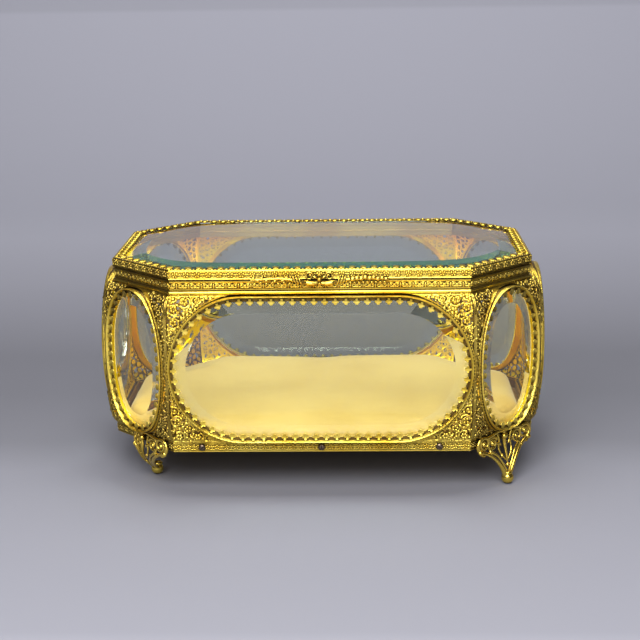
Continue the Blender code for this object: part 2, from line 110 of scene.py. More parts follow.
corner_x, corner_y = HALF_LENGTH - CORNER_CUT / 2, HALF_WIDTH - CORNER_CUT / 2
HALVES = {
    "long": HALF_LENGTH - CORNER_CUT,
    "end": HALF_WIDTH - CORNER_CUT,
    "corner": CORNER_CUT / math.sqrt(2),
}
SIDES = {
    "front": ("long", (0, -HALF_WIDTH), 0),
    "front_right": ("corner", (corner_x, -corner_y), 45),
    "right": ("end", (HALF_LENGTH, 0), 90),
    "rear_right": ("corner", (corner_x, corner_y), 135),
    "rear": ("long", (0, HALF_WIDTH), 180),
    "rear_left": ("corner", (-corner_x, corner_y), 225),
    "left": ("end", (-HALF_LENGTH, 0), 270),
    "front_left": ("corner", (-corner_x, -corner_y), 315),
}


def side_matrix(side):
    _, middle, turn = SIDES[side]
    return Matrix.Translation((*middle, 0)) @ Matrix.Rotation(math.radians(turn), 4, "Z")


def octagon(reach, extra_cut=0.0):
    """The corners of the plan at a reach, anticlockwise from the front side's left end."""
    x, y = HALF_LENGTH + reach, HALF_WIDTH + reach
    cut = CORNER_CUT + reach * (2 - math.sqrt(2)) + extra_cut
    right = [(x - cut, -y), (x, cut - y), (x, y - cut), (x - cut, y)]
    return [(-right[0][0], -y), *right, (cut - x, y), (-x, y - cut), (-x, cut - y)]


print("plan", octagon(0)[1:3])

# %% [markdown]
# ## Helpers for modelling
# An operator works on whatever is selected, so each piece starts from an empty selection. Two starts serve
# for most pieces. A grid can be bent into any swept shape by giving each of its corners a place, and then
# its seams are merged. A drawing is a flat curve whose strokes are swept with a half-round section, like
# wire soldered to a plate, and turned into a mesh.

# %% Select, merge and smooth


def select_only(*chosen):
    if bpy.context.mode != "OBJECT":
        bpy.ops.object.mode_set(mode="OBJECT")
    bpy.ops.object.select_all(action="DESELECT")
    for piece in chosen:
        piece.select_set(True)
    if chosen:
        bpy.context.view_layer.objects.active = chosen[-1]


def close_seams(piece, distance=0.004 * MM, angle=40):
    """Merges the corners that meet, turns the faces outwards, and shades the gentle edges smooth."""
    select_only(piece)
    bpy.ops.object.mode_set(mode="EDIT")
    bpy.ops.mesh.select_all(action="SELECT")
    bpy.ops.mesh.remove_doubles(threshold=distance)
    bpy.ops.mesh.normals_make_consistent(inside=False)
    bpy.ops.object.mode_set(mode="OBJECT")
    bpy.ops.object.shade_smooth_by_angle(angle=math.radians(angle))
    return piece


def bent_grid(name, columns, rows, place, angle=40, second=(), third=()):
    """A grid of faces whose corners go to place(column, row), with its seams closed.

    The faces of the rows in second and third take the piece's second and third material."""
    select_only()
    bpy.ops.mesh.primitive_grid_add(x_subdivisions=columns, y_subdivisions=rows, size=2)
    piece = bpy.context.object
    piece.name = name
    for corner in piece.data.vertices:
        column = round((corner.co.x + 1) / 2 * columns)
        row = round((corner.co.y + 1) / 2 * rows)
        corner.co = place(column, row)
    for number, face in enumerate(piece.data.polygons):
        row = number // columns
        face.material_index = 1 if row in second else 2 if row in third else 0
    return close_seams(piece, angle=angle)


# %% [markdown]
# Finished parts are joined into one piece, and what repeats is copied: each copy has its own mesh, moved by a
# matrix. Where there are hundreds of copies they are written into one mesh at once, which is much faster.

# %% Join and copy


def joined(name, *parts):
    select_only(*parts)
    if len(parts) > 1:
        bpy.ops.object.join()
    piece = bpy.context.object
    piece.name = name
    return piece


def copied(name, master, matrix):
    """A copy with its own mesh, moved by the matrix."""
    mesh = master.data.copy()
    mesh.transform(matrix)
    mesh.name = name
    piece = bpy.data.objects.new(name, mesh)
    bpy.context.scene.collection.objects.link(piece)
    return piece


def repeated(name, master, matrices):
    """One mesh that holds a copy of the master for each matrix."""
    spots = np.array([corner.co for corner in master.data.vertices])
    faces = [list(face.vertices) for face in master.data.polygons]
    smooth = [face.use_smooth for face in master.data.polygons]
    all_spots, all_faces = [], []
    for number, matrix in enumerate(matrices):
        turn = np.array(matrix)
        all_spots.append(spots @ turn[:3, :3].T + turn[:3, 3])
        all_faces += [[corner + number * len(spots) for corner in face] for face in faces]
    mesh = bpy.data.meshes.new(name)
    mesh.from_pydata(np.concatenate(all_spots).tolist(), [], all_faces)
    mesh.polygons.foreach_set("use_smooth", smooth * len(matrices))
    piece = bpy.data.objects.new(name, mesh)
    bpy.context.scene.collection.objects.link(piece)
    return piece


def move_corners(piece, mapping):
    """Sends every corner of the piece through a mapping of an array of points."""
    flat = np.empty(len(piece.data.vertices) * 3)
    piece.data.vertices.foreach_get("co", flat)
    piece.data.vertices.foreach_set("co", mapping(flat.reshape(-1, 3)).ravel())
    piece.data.update()
    return piece


def discard(*helpers):
    for helper in helpers:
        bpy.data.objects.remove(helper)


# %% [markdown]
# ## Strokes of wire and cast ornament
# Filigree is wire and leaf laid on a flat pattern. A stroke is a list of points with a width at each, so one
# stroke that swells and thins is a leaf, and one that winds inwards is a scroll. The section has a flat back
# and a domed face for the stamped work, and is round for the feet, which are cast.

# %% Draw strokes and turn them into a mesh


def section(name, points):
    """A closed outline that a curve carries along its strokes, for a width of 1 mm."""
    curve = bpy.data.curves.new(name, "CURVE")
    curve.dimensions = "2D"
    curve.fill_mode = "NONE"
    spline = curve.splines.new("POLY")
    spline.points.add(len(points) - 1)
    for spot, (across, up) in zip(spline.points, points):
        spot.co = (across * MM, up * MM, 0, 1)
    spline.use_cyclic_u = True
    made = bpy.data.objects.new(name, curve)
    bpy.context.scene.collection.objects.link(made)
    return made


half_round = section(
    "half_round_section",
    [(-0.5, -0.15), (0.5, -0.15), (0.48, 0.3), (0.22, 0.65), (-0.22, 0.65), (-0.48, 0.3)],
)
full_round = section(
    "full_round_section",
    [(0.5 * math.cos(turn * math.tau / 10), 0.5 * math.sin(turn * math.tau / 10)) for turn in range(10)],
)


def drawn(name, strokes, outline=half_round):
    """A mesh of the strokes, each a list of (across, along, width), in millimetres, on the plane Z = 0."""
    curve = bpy.data.curves.new(name, "CURVE")
    curve.dimensions = "2D"
    curve.fill_mode = "NONE"
    curve.bevel_mode = "OBJECT"
    curve.bevel_object = outline
    curve.use_fill_caps = True
    for stroke in strokes:
        spline = curve.splines.new("POLY")
        spline.points.add(len(stroke) - 1)
        for spot, (across, along, width) in zip(spline.points, stroke):
            spot.co = (across * MM, along * MM, 0, 1)
            spot.radius = width
    drawing = bpy.data.objects.new(name, curve)
    bpy.context.scene.collection.objects.link(drawing)
    select_only(drawing)
    bpy.ops.object.convert(target="MESH")
    piece = close_seams(bpy.context.object, distance=0.001 * MM, angle=60)
    piece.name = name
    return piece


# %% [markdown]
# A sheet is a filled curve: its first outline is the edge, and each outline inside it is a hole. The fill
# goes wrong where many corners share one height, so the outlines are laid askew while they are filled.

# %% Cut a plate
FILL_SKEW = 0.613  # radians, a turn at which no two corners share a height


def cut_plate(name, loops, thickness):
    """A flat plate with the first outline as its edge and the others as holes, in millimetres."""
    askew = Matrix.Rotation(FILL_SKEW, 4, "Z")
    curve = bpy.data.curves.new(name, "CURVE")
    curve.dimensions = "2D"
    curve.fill_mode = "BOTH"
    curve.extrude = thickness / 2 * MM
    for loop in loops:
        spline = curve.splines.new("POLY")
        spline.points.add(len(loop) - 1)
        for spot, (across, along) in zip(spline.points, loop):
            spot.co = (*(askew @ Vector((across * MM, along * MM, 0))), 1)
        spline.use_cyclic_u = True
    drawing = bpy.data.objects.new(name, curve)
    bpy.context.scene.collection.objects.link(drawing)
    select_only(drawing)
    bpy.ops.object.convert(target="MESH")
    piece = bpy.context.object
    piece.data.transform(askew.inverted())
    piece.name = name
    return close_seams(piece, distance=0.001 * MM, angle=30)


# %% [markdown]
# Three strokes make all the ornament: a smooth curve through a few points, a scroll that winds inwards, and a
# leaf that swells and ends in a point.

# %% Draw curves, scrolls and leaves


def along_curve(points, widths, steps):
    """A smooth stroke through a few points, with the widths spread along it."""
    spots = [Vector((*point, 0)) for point in points]
    ends = [2 * spots[0] - spots[1], *spots, 2 * spots[-1] - spots[-2]]
    stroke = []
    for step in range(steps + 1):
        share = step / steps * (len(spots) - 1)
        first = min(int(share), len(spots) - 2)
        part = share - first
        before, start, end, after = ends[first : first + 4]
        spot = 0.5 * (
            2 * start
            + (end - before) * part
            + (2 * before - 5 * start + 4 * end - after) * part**2
            + (3 * start - before - 3 * end + after) * part**3
        )
        width = float(np.interp(step / steps, np.linspace(0, 1, len(widths)), widths))
        stroke.append((spot.x, spot.y, width))
    return stroke


def polar(centre, angle, distance):
    return centre[0] + distance * math.cos(angle), centre[1] + distance * math.sin(angle)


def scroll(centre, radius, start, hand, turns=1.7, width=0.95, tight=0.2, steps=24):
    """A wire that winds inwards from the rim of a circle."""
    stroke = []
    for step in range(steps + 1):
        share = step / steps
        angle = start + hand * share * turns * math.tau
        inward = max(0.0, (share - 0.3) / 0.7)
        wound = radius * (1 - (1 - tight) * inward**0.9)
        across, along = polar(centre, angle, wound)
        stroke.append((across, along, width * (1 - 0.35 * share)))
    return stroke


def leaf(base, angle, length, width, bend=0.0):
    """A stroke that swells in its middle and ends in a point."""
    stroke = []
    for step, swelling in enumerate((0.35, 0.85, 1.0, 0.62, 0.12)):
        share = step / 4
        across, along = polar(base, angle + bend * share, length * share)
        stroke.append((across, along, width * swelling))
    return stroke


def mirrored(spots):
    """The points of a stroke, or beads, on the other side of the middle line."""
    return [(-across, along, size) for across, along, size in spots]


def flipped(strokes):
    return [mirrored(stroke) for stroke in strokes]


# %% [markdown]
# A bead is a dome of a few dozen faces with its flat back on the sheet. A sphere is cut off just under its
# middle, and the copies of it are pressed a little flat.

# %% Shape a bead
BEAD_SINK = 0.12 * MM  # how far under its middle the bead is cut off


def bead_master():
    """A dome of a few dozen faces with a flat underside, pointing up."""
    select_only()
    bpy.ops.mesh.primitive_ico_sphere_add(subdivisions=2, radius=1 * MM)
    master = bpy.context.object
    bpy.ops.object.mode_set(mode="EDIT")
    bpy.ops.mesh.select_all(action="SELECT")
    bpy.ops.mesh.bisect(
        plane_co=(0, 0, -BEAD_SINK),
        plane_no=(0, 0, 1),
        use_fill=True,
        clear_inner=True,
        threshold=0.0001 * MM,
    )
    bpy.ops.object.mode_set(mode="OBJECT")
    bpy.ops.object.shade_smooth_by_angle(angle=math.radians(60))
    return master


bead = bead_master()
print("a bead has", len(bead.data.polygons), "faces")


def beads(name, spots, flatness=0.75):
    """Small domes, each at (across, along, radius) in millimetres."""
    matrices = [
        Matrix.Translation((across * MM, along * MM, BEAD_SINK))
        @ Matrix.Diagonal((radius, radius, radius * flatness, 1))
        for across, along, radius in spots
    ]
    return repeated(name, bead, matrices)


# %% [markdown]
# ## The panels' swollen surface
# A panel swells out below the rim and draws in again to the base, like a bombe chest. Ornament drawn on a
# flat sheet has to keep its proportions where the sheet turns nearly level at the shoulder, so the drawing
# is measured along the surface, and this cell works out where each measure falls.

# %% Measure along the swell
SWELL_TOP, SWELL_MIDDLE, SWELL_BOTTOM = 0.2 * MM, 4.9 * MM, 1.2 * MM
SHOULDER_HEIGHT, SKIRT_HEIGHT = 11 * MM, 18 * MM


def swell(height):
    """The panel's reach at a height."""
    above = np.clip((height - (PANEL_TOP - SHOULDER_HEIGHT)) / SHOULDER_HEIGHT, 0, 1)
    below = np.clip((PANEL_BOTTOM + SKIRT_HEIGHT - height) / SKIRT_HEIGHT, 0, 1)
    shoulder = (SWELL_MIDDLE - SWELL_TOP) * (1 - np.sqrt(1 - above**2))
    skirt = (SWELL_MIDDLE - SWELL_BOTTOM) * (1 - np.sqrt(1 - below**2))
    return SWELL_MIDDLE - shoulder - skirt


def measured_swell(samples=400):
    """Heights, reaches, distances along the surface and the outward direction, from base to rim."""
    crowded = (1 - np.cos(np.linspace(0, math.pi, samples))) / 2  # closer together at both ends
    heights = PANEL_BOTTOM + crowded * (PANEL_TOP - PANEL_BOTTOM)
    reaches = swell(heights)
    steps = np.hypot(np.diff(heights), np.diff(reaches))
    distances = np.concatenate([[0], np.cumsum(steps)])
    lean_out = np.gradient(heights, distances)
    lean_up = -np.gradient(reaches, distances)
    return heights, reaches, distances, lean_out, lean_up


HEIGHTS, REACHES, DISTANCES, LEAN_OUT, LEAN_UP = measured_swell()
SURFACE_LENGTH = DISTANCES[-1]
WIRE_SINK = 0.3 * MM  # the wires' backs lie this far inside the CAD sheet's outer face


def on_panel(flat):
    """Lays points (across, along the surface, rise) on a swollen panel that faces the front."""
    heights = np.interp(flat[:, 1], DISTANCES, HEIGHTS)
    reaches = np.interp(flat[:, 1], DISTANCES, REACHES)
    rise = flat[:, 2] - WIRE_SINK
    out = reaches + rise * np.interp(flat[:, 1], DISTANCES, LEAN_OUT)
    up = heights + rise * np.interp(flat[:, 1], DISTANCES, LEAN_UP)
    return np.column_stack([flat[:, 0], -out, up])


print("the surface is", round(SURFACE_LENGTH / MM, 1), "mm from base to rim")

# %% [markdown]
# ## The window outlines
# A long side's window has straight edges and half-round ends, and the others are ovals. Each outline is
# walked in equal steps, with the direction that faces out of the window at every step, so that rings,
# prongs and panes can all be measured from the same line.

# %% Walk round each window
WINDOW_HEIGHT, WINDOW_CENTRE = 61.2 * MM, 60.3 * MM
WINDOWS = {"long": (130 * MM, None), "end": (58 * MM, 2.0), "corner": (34.4 * MM, 2.3)}


def outline(kind, count):
    """Evenly spaced points round a window, about its centre, and the outward direction at each."""
    width, roundness = WINDOWS[kind]
    turns = np.linspace(0, math.tau, 1441)
    cosine, sine = np.cos(turns), np.sin(turns)
    if roundness is None:
        radius = WINDOW_HEIGHT / 2
        straight = width / 2 - radius
        across = radius * cosine + straight * np.sign(np.round(cosine, 6))
        up = radius * sine
    else:
        across = width / 2 * np.sign(cosine) * np.abs(cosine) ** (2 / roundness)
        up = WINDOW_HEIGHT / 2 * np.sign(sine) * np.abs(sine) ** (2 / roundness)
    walked = np.concatenate([[0], np.cumsum(np.hypot(np.diff(across), np.diff(up)))])
    even = np.arange(count) / count * walked[-1]
    points = np.column_stack([np.interp(even, walked, across), np.interp(even, walked, up)])
    ahead = np.roll(points, -1, axis=0) - np.roll(points, 1, axis=0)
    ahead /= np.hypot(*ahead.T)[:, None]
    return points, np.column_stack([ahead[:, 1], -ahead[:, 0]]), walked[-1]


for kind in WINDOWS:
    print(kind, "window is", round(outline(kind, 200)[2] / MM), "mm round")

# %% [markdown]
# ## Brass finishes
# Gilt brass is bright where hands and cloths rub it and brown where dirt and old lacquer gather. Both follow
# the shape: a hollow sees little of the room around it. The Patina group measures that with ambient
# occlusion, breaks its edge up with noise, and puts out a mask. Chasing is the fine unevenness that a
# stamping tool and fifty years of polishing leave, as a height for the Bump node.

# %% Build the shared Patina and Chasing groups


def new_group(name, inputs, outputs):
    """An empty node group with float inputs and outputs, and the nodes for both ends."""
    group = bpy.data.node_groups.new(name, "ShaderNodeTree")
    for label, value in inputs.items():
        socket = group.interface.new_socket(label, in_out="INPUT", socket_type="NodeSocketFloat")
        socket.default_value = value
    for label in outputs:
        group.interface.new_socket(label, in_out="OUTPUT", socket_type="NodeSocketFloat")
    return group, group.nodes.new("NodeGroupInput"), group.nodes.new("NodeGroupOutput")


def add_node(tree, kind, inputs=None, **settings):
    """A node with its settings, its sockets either set to a value or linked to another socket."""
    node = tree.nodes.new("ShaderNode" + kind)
    for label, value in settings.items():
        setattr(node, label, value)
    for label, value in (inputs or {}).items():
        if isinstance(value, bpy.types.NodeSocket):
            tree.links.new(value, node.inputs[label])
        else:
            node.inputs[label].default_value = value
    return node


def math_node(tree, operation, first, second=0.0, clamp=False):
    return add_node(tree, "Math", {0: first, 1: second}, operation=operation, use_clamp=clamp).outputs[0]


def patina_group():
    group, given, result = new_group("Patina", {"Reach": 2 * MM, "Amount": 1.0, "Grain": 900.0}, ["Mask"])
    place = add_node(group, "TexCoord").outputs["Object"]
    hollow = add_node(group, "AmbientOcclusion", {"Distance": given.outputs["Reach"]}, samples=8)
    shade = math_node(group, "SUBTRACT", 1.0, hollow.outputs["AO"])
    grain = add_node(group, "TexNoise", {"Vector": place, "Scale": given.outputs["Grain"], "Detail": 3.0})
    broken = math_node(group, "MULTIPLY_ADD", grain.outputs["Fac"], 0.5)
    broken.node.inputs[2].default_value = -0.25
    edge = math_node(group, "ADD", shade, broken)
    ramp = add_node(group, "MapRange", {"Value": edge, "From Min": 0.2, "From Max": 0.75})
    amount = math_node(group, "MULTIPLY", ramp.outputs[0], given.outputs["Amount"], clamp=True)
    group.links.new(amount, result.inputs["Mask"])
    return group


def chasing_group():
    group, given, result = new_group("Chasing", {"Grain": 1500.0, "Dents": 220.0}, ["Height"])
    place = add_node(group, "TexCoord").outputs["Object"]
    fine = add_node(group, "TexNoise", {"Vector": place, "Scale": given.outputs["Grain"], "Detail": 2.0})
    broad = add_node(group, "TexNoise", {"Vector": place, "Scale": given.outputs["Dents"], "Detail": 1.0})
    height = math_node(group, "MULTIPLY_ADD", broad.outputs["Fac"], 1.6)
    group.links.new(fine.outputs["Fac"], height.node.inputs[2])
    group.links.new(height, result.inputs["Height"])
    return group


patina = patina_group()
chasing = chasing_group()
print("shared groups:", patina.name, "and", chasing.name)

# %% [markdown]
# Every brass material has the same make-up: two golds in soft patches, a dirt colour where the Patina mask
# says so, and the Chasing height as a bump. Dirt is also duller than metal, so the mask lowers the metallic
# value and raises the roughness.

# %% Mix a brass
DIRT_LOSES_METAL, DIRT_ADDS_ROUGHNESS = 0.35, 0.3


def use_group(tree, group, **values):
    node = tree.nodes.new("ShaderNodeGroup")
    node.node_tree = group
    for label, value in values.items():
        node.inputs[label].default_value = value
    return node


def new_material(name):
    material = bpy.data.materials.new(name)
    material.use_nodes = True
    return material, material.node_tree, material.node_tree.nodes["Principled BSDF"]


def mix_colours(tree, share, first, second):
    mix = tree.nodes.new("ShaderNodeMix")
    mix.data_type = "RGBA"
    for socket, value in ((mix.inputs[0], share), (mix.inputs[6], first), (mix.inputs[7], second)):
        if isinstance(value, bpy.types.NodeSocket):
            tree.links.new(value, socket)
        else:
            socket.default_value = value
    return mix.outputs[2]


def scaled_mask(tree, mask, slope, start):
    """The mask times a slope, plus a start."""
    scaled = math_node(tree, "MULTIPLY_ADD", mask, slope)
    scaled.node.inputs[2].default_value = start
    return scaled


def brass(name, bright, warm, dirt, reach, roughness, bump=0.045 * MM, amount=1.0):
    """Gilt brass: two golds in soft patches, brown in the hollows, and a lightly chased surface."""
    material, tree, shader = new_material(name)
    place = add_node(tree, "TexCoord").outputs["Object"]
    patches = add_node(tree, "TexNoise", {"Vector": place, "Scale": 60.0, "Detail": 2.0})
    spread = add_node(tree, "MapRange", {"Value": patches.outputs["Fac"], "From Min": 0.35, "From Max": 0.65})
    gold = mix_colours(tree, spread.outputs[0], bright, warm)
    mask = use_group(tree, patina, Reach=reach, Amount=amount).outputs["Mask"]
    tree.links.new(mix_colours(tree, mask, gold, dirt), shader.inputs["Base Color"])
    tree.links.new(scaled_mask(tree, mask, -DIRT_LOSES_METAL, 1.0), shader.inputs["Metallic"])
    tree.links.new(scaled_mask(tree, mask, DIRT_ADDS_ROUGHNESS, roughness), shader.inputs["Roughness"])
    height = use_group(tree, chasing).outputs["Height"]
    relief = add_node(tree, "Bump", {"Height": height, "Distance": bump, "Strength": 1.0})
    tree.links.new(relief.outputs["Normal"], shader.inputs["Normal"])
    return material


# %% [markdown]
# The casket needs eight of them. The gilt of the wires is soft and bright, and the rings were chased by hand,
# so theirs is rougher. The cast feet and the thumb lift are polished. The pierced sheet behind the wires is
# dark brown, partly tarnish and partly painted shade between the wires, and its inner side still has its
# amber lacquer. The corner sides take a darker copy of the gilt, which is painted shade, and the pan, the
# hinge and the screws are duller.

# %% Mix the casket's brasses
gilt = brass(
    "gilt_brass",
    bright=(0.98, 0.75, 0.13, 1),
    warm=(0.86, 0.57, 0.055, 1),
    dirt=(0.030, 0.014, 0.004, 1),
    reach=2.2 * MM,
    roughness=0.28,
    bump=0.06 * MM,
)
chased_gilt = brass(
    "chased_gilt",
    bright=(0.98, 0.75, 0.13, 1),
    warm=(0.80, 0.52, 0.05, 1),
    dirt=(0.022, 0.010, 0.003, 1),
    reach=3.0 * MM,
    roughness=0.28,
    bump=0.26 * MM,
)
polished_gilt = brass(
    "polished_gilt",
    bright=(0.88, 0.66, 0.11, 1),
    warm=(0.74, 0.49, 0.07, 1),
    dirt=(0.04, 0.02, 0.005, 1),
    reach=2.0 * MM,
    roughness=0.2,
    bump=0.012 * MM,
)
# a dark brown that is partly tarnish and partly painted shade: it goes on the grounds behind the ornament,
# the ring's groove and the row under its slots, the flange under the bezel's teeth and the sheet behind the
# lace, where the raised work shades them
tarnish_and_shade = brass(
    "tarnished_and_shaded_ground",
    bright=(0.26, 0.165, 0.035, 1),
    warm=(0.13, 0.075, 0.017, 1),
    dirt=(0.02, 0.01, 0.004, 1),
    reach=2 * MM,
    roughness=0.42,
    bump=0.06 * MM,
)
# painted shade: a darker copy of the gilt for the corner sides, whose faces mirror the dim sides of the room
corner_shade_gilt = brass(
    "gilt_with_painted_corner_shade",
    bright=(0.50, 0.37, 0.065, 1),
    warm=(0.36, 0.24, 0.04, 1),
    dirt=(0.022, 0.010, 0.004, 1),
    reach=3.0 * MM,
    roughness=0.25,
)
amber = brass(
    "amber_lacquer",
    bright=(1.0, 0.72, 0.012, 1),
    warm=(1.0, 0.61, 0.006, 1),
    dirt=(0.30, 0.15, 0.015, 1),
    reach=1.2 * MM,
    roughness=0.42,
    bump=0.02 * MM,
    amount=0.5,
)
aged = brass(
    "aged_brass",
    bright=(0.62, 0.44, 0.12, 1),
    warm=(0.50, 0.32, 0.09, 1),
    dirt=(0.05, 0.03, 0.012, 1),
    reach=3 * MM,
    roughness=0.34,
)
steel = brass(
    "bronzed_steel",
    bright=(0.20, 0.15, 0.10, 1),
    warm=(0.12, 0.085, 0.06, 1),
    dirt=(0.02, 0.014, 0.01, 1),
    reach=1 * MM,
    roughness=0.26,
    bump=0.01 * MM,
)
finishes = (gilt, chased_gilt, polished_gilt, corner_shade_gilt, tarnish_and_shade, amber, aged, steel)
print("finishes:", [material.name for material in finishes])

# %% [markdown]
# A piece gets its materials in a set order, and its faces say which of them they take. The gilt faces on the
# corner sides go to a darker copy of the gilt, a painted shade for faces that mirror the dim sides of the
# room. A finished piece then rides on the case or the lid, in place of the plain CAD nodes that it stands
# for.

# %% Paint a piece and put it on the casket
# the corner sides begin a little outside the ends of the long and end sides
CORNER_X, CORNER_Y = HALF_LENGTH - CORNER_CUT + 0.7 * MM, HALF_WIDTH - CORNER_CUT + 0.7 * MM


def paint(piece, *materials):
    for material in materials:
        piece.data.materials.append(material)
    return piece


def paint_corner_shade(piece, above=0.0):
    """What is gilt on the corner sides, above a height, takes the darker gilt of painted shade."""
    paint(piece, corner_shade_gilt)
    dimmed = len(piece.data.materials) - 1
    for face in piece.data.polygons:
        cornered = abs(face.center.x) > CORNER_X and abs(face.center.y) > CORNER_Y
        if cornered and face.center.z > above and piece.data.materials[face.material_index] == gilt:
            face.material_index = dimmed
    return piece


def dress(piece, body="case", replaces=()):
    """Puts a finished piece on a body of the casket, in place of the plain CAD nodes."""
    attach(piece, body)
    if replaces:
        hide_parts(*replaces)
    return piece


# %% [markdown]
# ## Clear glass
# The panes and the lid are flat polished plate with a ground bevel. Glass bends light, so a renderer would
# let no lamp shine straight through it. For the rays that only ask whether a lamp is hidden, the glass is
# swapped for a transparent shader with the same faint tint, and the pad inside stays lit. The lid's plate is
# thick and its iron makes it green in the depth: light that enters the bevel is mirrored along the whole
# plate before it comes out, and so the bevel looks sea green while the middle stays clear.

# %% Make the glass


def glass(name, tint, shadow_tint, depth_tint=None, density=0.0):
    material, tree, shader = new_material(name)
    shader.inputs["Base Color"].default_value = tint
    shader.inputs["Roughness"].default_value = 0.0
    shader.inputs["IOR"].default_value = 1.5
    shader.inputs["Transmission Weight"].default_value = 1.0
    path = add_node(tree, "LightPath")
    clear = add_node(tree, "BsdfTransparent", {"Color": shadow_tint})
    mix = add_node(tree, "MixShader", {0: path.outputs["Is Shadow Ray"]})
    tree.links.new(shader.outputs[0], mix.inputs[1])
    tree.links.new(clear.outputs[0], mix.inputs[2])
    output = tree.nodes["Material Output"]
    tree.links.new(mix.outputs[0], output.inputs["Surface"])
    if density:
        depth = add_node(tree, "VolumeAbsorption", {"Color": depth_tint, "Density": density})
        tree.links.new(depth.outputs[0], output.inputs["Volume"])
    return material


pane_glass = glass("pane_glass", tint=(0.80, 0.83, 0.77, 1), shadow_tint=(0.93, 0.95, 0.94, 1))
# painted shade: the long sides' panes take a darker tint than the others, for the shaded card behind the
# casket that shows through both long windows
shaded_long_pane_glass = glass("shaded_long_pane_glass", tint=(0.605, 0.64, 0.58, 1), shadow_tint=(0.93, 0.95, 0.94, 1))
lid_plate_glass = glass(
    "lid_plate_glass",
    tint=(0.97, 0.98, 0.97, 1),
    shadow_tint=(0.95, 0.97, 0.96, 1),
    depth_tint=(0.036, 0.69, 0.48, 1),
    density=14.0,
)
print("glasses:", pane_glass.name, shaded_long_pane_glass.name, lid_plate_glass.name)

# %% [markdown]
# ## The window rings
# Each window is framed by a raised ring that was stamped with the panel: a bright bead, a groove, and a flank
# that comes down to the sheet. Inside the bead a row of slots is pierced, and the strips left between them
# are cut to small T shapes and folded over the edge of the glass. The ring is a grid bent round the window's
# outline, and one T is shaped from a flat outline, then copied all the way round.

# %% Bend the rings
RING_REACH = 6.9 * MM
# the row under the slots is painted dark as shade, and the groove is partly tarnish and partly painted shade
DARK_ROWS = (5, 6, 14)  # the groove between the two mouldings, and the row under the slots
INNER_ROWS = (16, 17, 18)  # the turned-in edge behind the glass
# (distance out from the window, share of the rise from the sheet to the ring's crest, or a fixed reach)
RING_ROWS = [
    (3.5, -0.25, None),
    (4.15, -0.03, None),
    (4.18, 0.3, None),
    (4.02, 0.52, None),
    (3.84, 0.5, None),
    (3.7, 0.28, None),
    (3.5, 0.28, None),
    (3.4, 0.7, None),
    (3.26, 0.92, None),
    (3.06, 1.0, None),
    (2.86, 0.97, None),
    (2.62, 0.82, None),
    (2.36, 0.72, None),
    (2.22, 0.5, None),
    (2.18, None, 5.3),
    (0.95, None, 5.1),
    (0.95, None, 4.6),
    (1.75, None, 4.5),
    (1.8, None, 1.6),
    (3.5, -0.25, None),
]


def ring(kind, steps):
    points, outward, _ = outline(kind, steps)

    def place(column, row):
        grow, risen, fixed = RING_ROWS[row]
        spot = points[column % steps] + outward[column % steps] * grow * MM
        height = WINDOW_CENTRE + spot[1]
        sheet = float(swell(np.clip(height, PANEL_BOTTOM, PANEL_TOP)))
        reach = fixed * MM if risen is None else sheet + risen * (RING_REACH - sheet)
        on_sheet = risen is not None and risen < 0.5
        return (spot[0], -reach, min(height, PANEL_TOP + 0.1 * MM) if on_sheet else height)

    return bent_grid(f"{kind}_ring", steps, len(RING_ROWS) - 1, place, 60, DARK_ROWS, INNER_ROWS)


BEAD_PITCH = 1.35 * MM
GROOVE_OUT, GROOVE_RISE = 3.6 * MM, 0.3  # where the groove runs, measured like the rows above
GROOVE_END = 1.2 * MM  # the groove runs under the rim this far below the panel's top


def ring_beads(kind):
    """A row of fine beads in the ring's outer groove."""
    _, _, around = outline(kind, 10)
    points, outward, _ = outline(kind, round(around / BEAD_PITCH))
    matrices = []
    for spot, out in zip(points, outward):
        across, up = spot + out * GROOVE_OUT
        height = WINDOW_CENTRE + up
        if height < PANEL_TOP - GROOVE_END:
            sheet = float(swell(max(height, PANEL_BOTTOM)))
            reach = sheet + GROOVE_RISE * (RING_REACH - sheet)
            matrices.append(Matrix.Translation((across, -reach, height)) @ bead_turn @ bead_size)
    return repeated(f"{kind}_ring_beads", bead, matrices)


bead_turn = Matrix.Rotation(math.pi / 2, 4, "X")
bead_size = Matrix.Diagonal((0.5, 0.5, 0.5, 1))
RING_STEPS = {"long": 240, "end": 150, "corner": 120}
rings = {}
for kind, steps in RING_STEPS.items():
    bent = paint(ring(kind, steps), chased_gilt, tarnish_and_shade, amber)
    rings[kind] = joined(f"{kind}_ring", paint(ring_beads(kind), gilt), bent)
    print(kind, "ring:", len(rings[kind].data.polygons), "faces")

# %% [markdown]
# The prongs are small flat tabs with rounded edges. Those of the long and the end windows end in a T, and
# those of the corner windows in a spade. Half of a tab's outline is enough, since the other half mirrors it.

# %% Shape one prong of each kind


def tab(name, half_outline, thickness=0.5, rounding=0.08):
    """A small flat plate, mirrored from half of its outline, with a rounded upper edge."""
    whole = half_outline + [(-across, along) for across, along in reversed(half_outline) if across > 0]
    select_only()
    bpy.ops.mesh.primitive_circle_add(vertices=len(whole), radius=1, fill_type="NGON")
    piece = bpy.context.object
    piece.name = name
    for corner, (across, along) in zip(piece.data.vertices, whole):
        corner.co = (across * MM, along * MM, 0)
    bpy.ops.object.mode_set(mode="EDIT")
    bpy.ops.mesh.select_all(action="SELECT")
    bpy.ops.mesh.normals_make_consistent(inside=False)
    bpy.ops.mesh.extrude_region_move(TRANSFORM_OT_translate={"value": (0, 0, thickness * MM)})
    bpy.ops.mesh.inset(thickness=rounding * MM, depth=rounding * 0.8 * MM)
    bpy.ops.object.mode_set(mode="OBJECT")
    return close_seams(piece, angle=50)


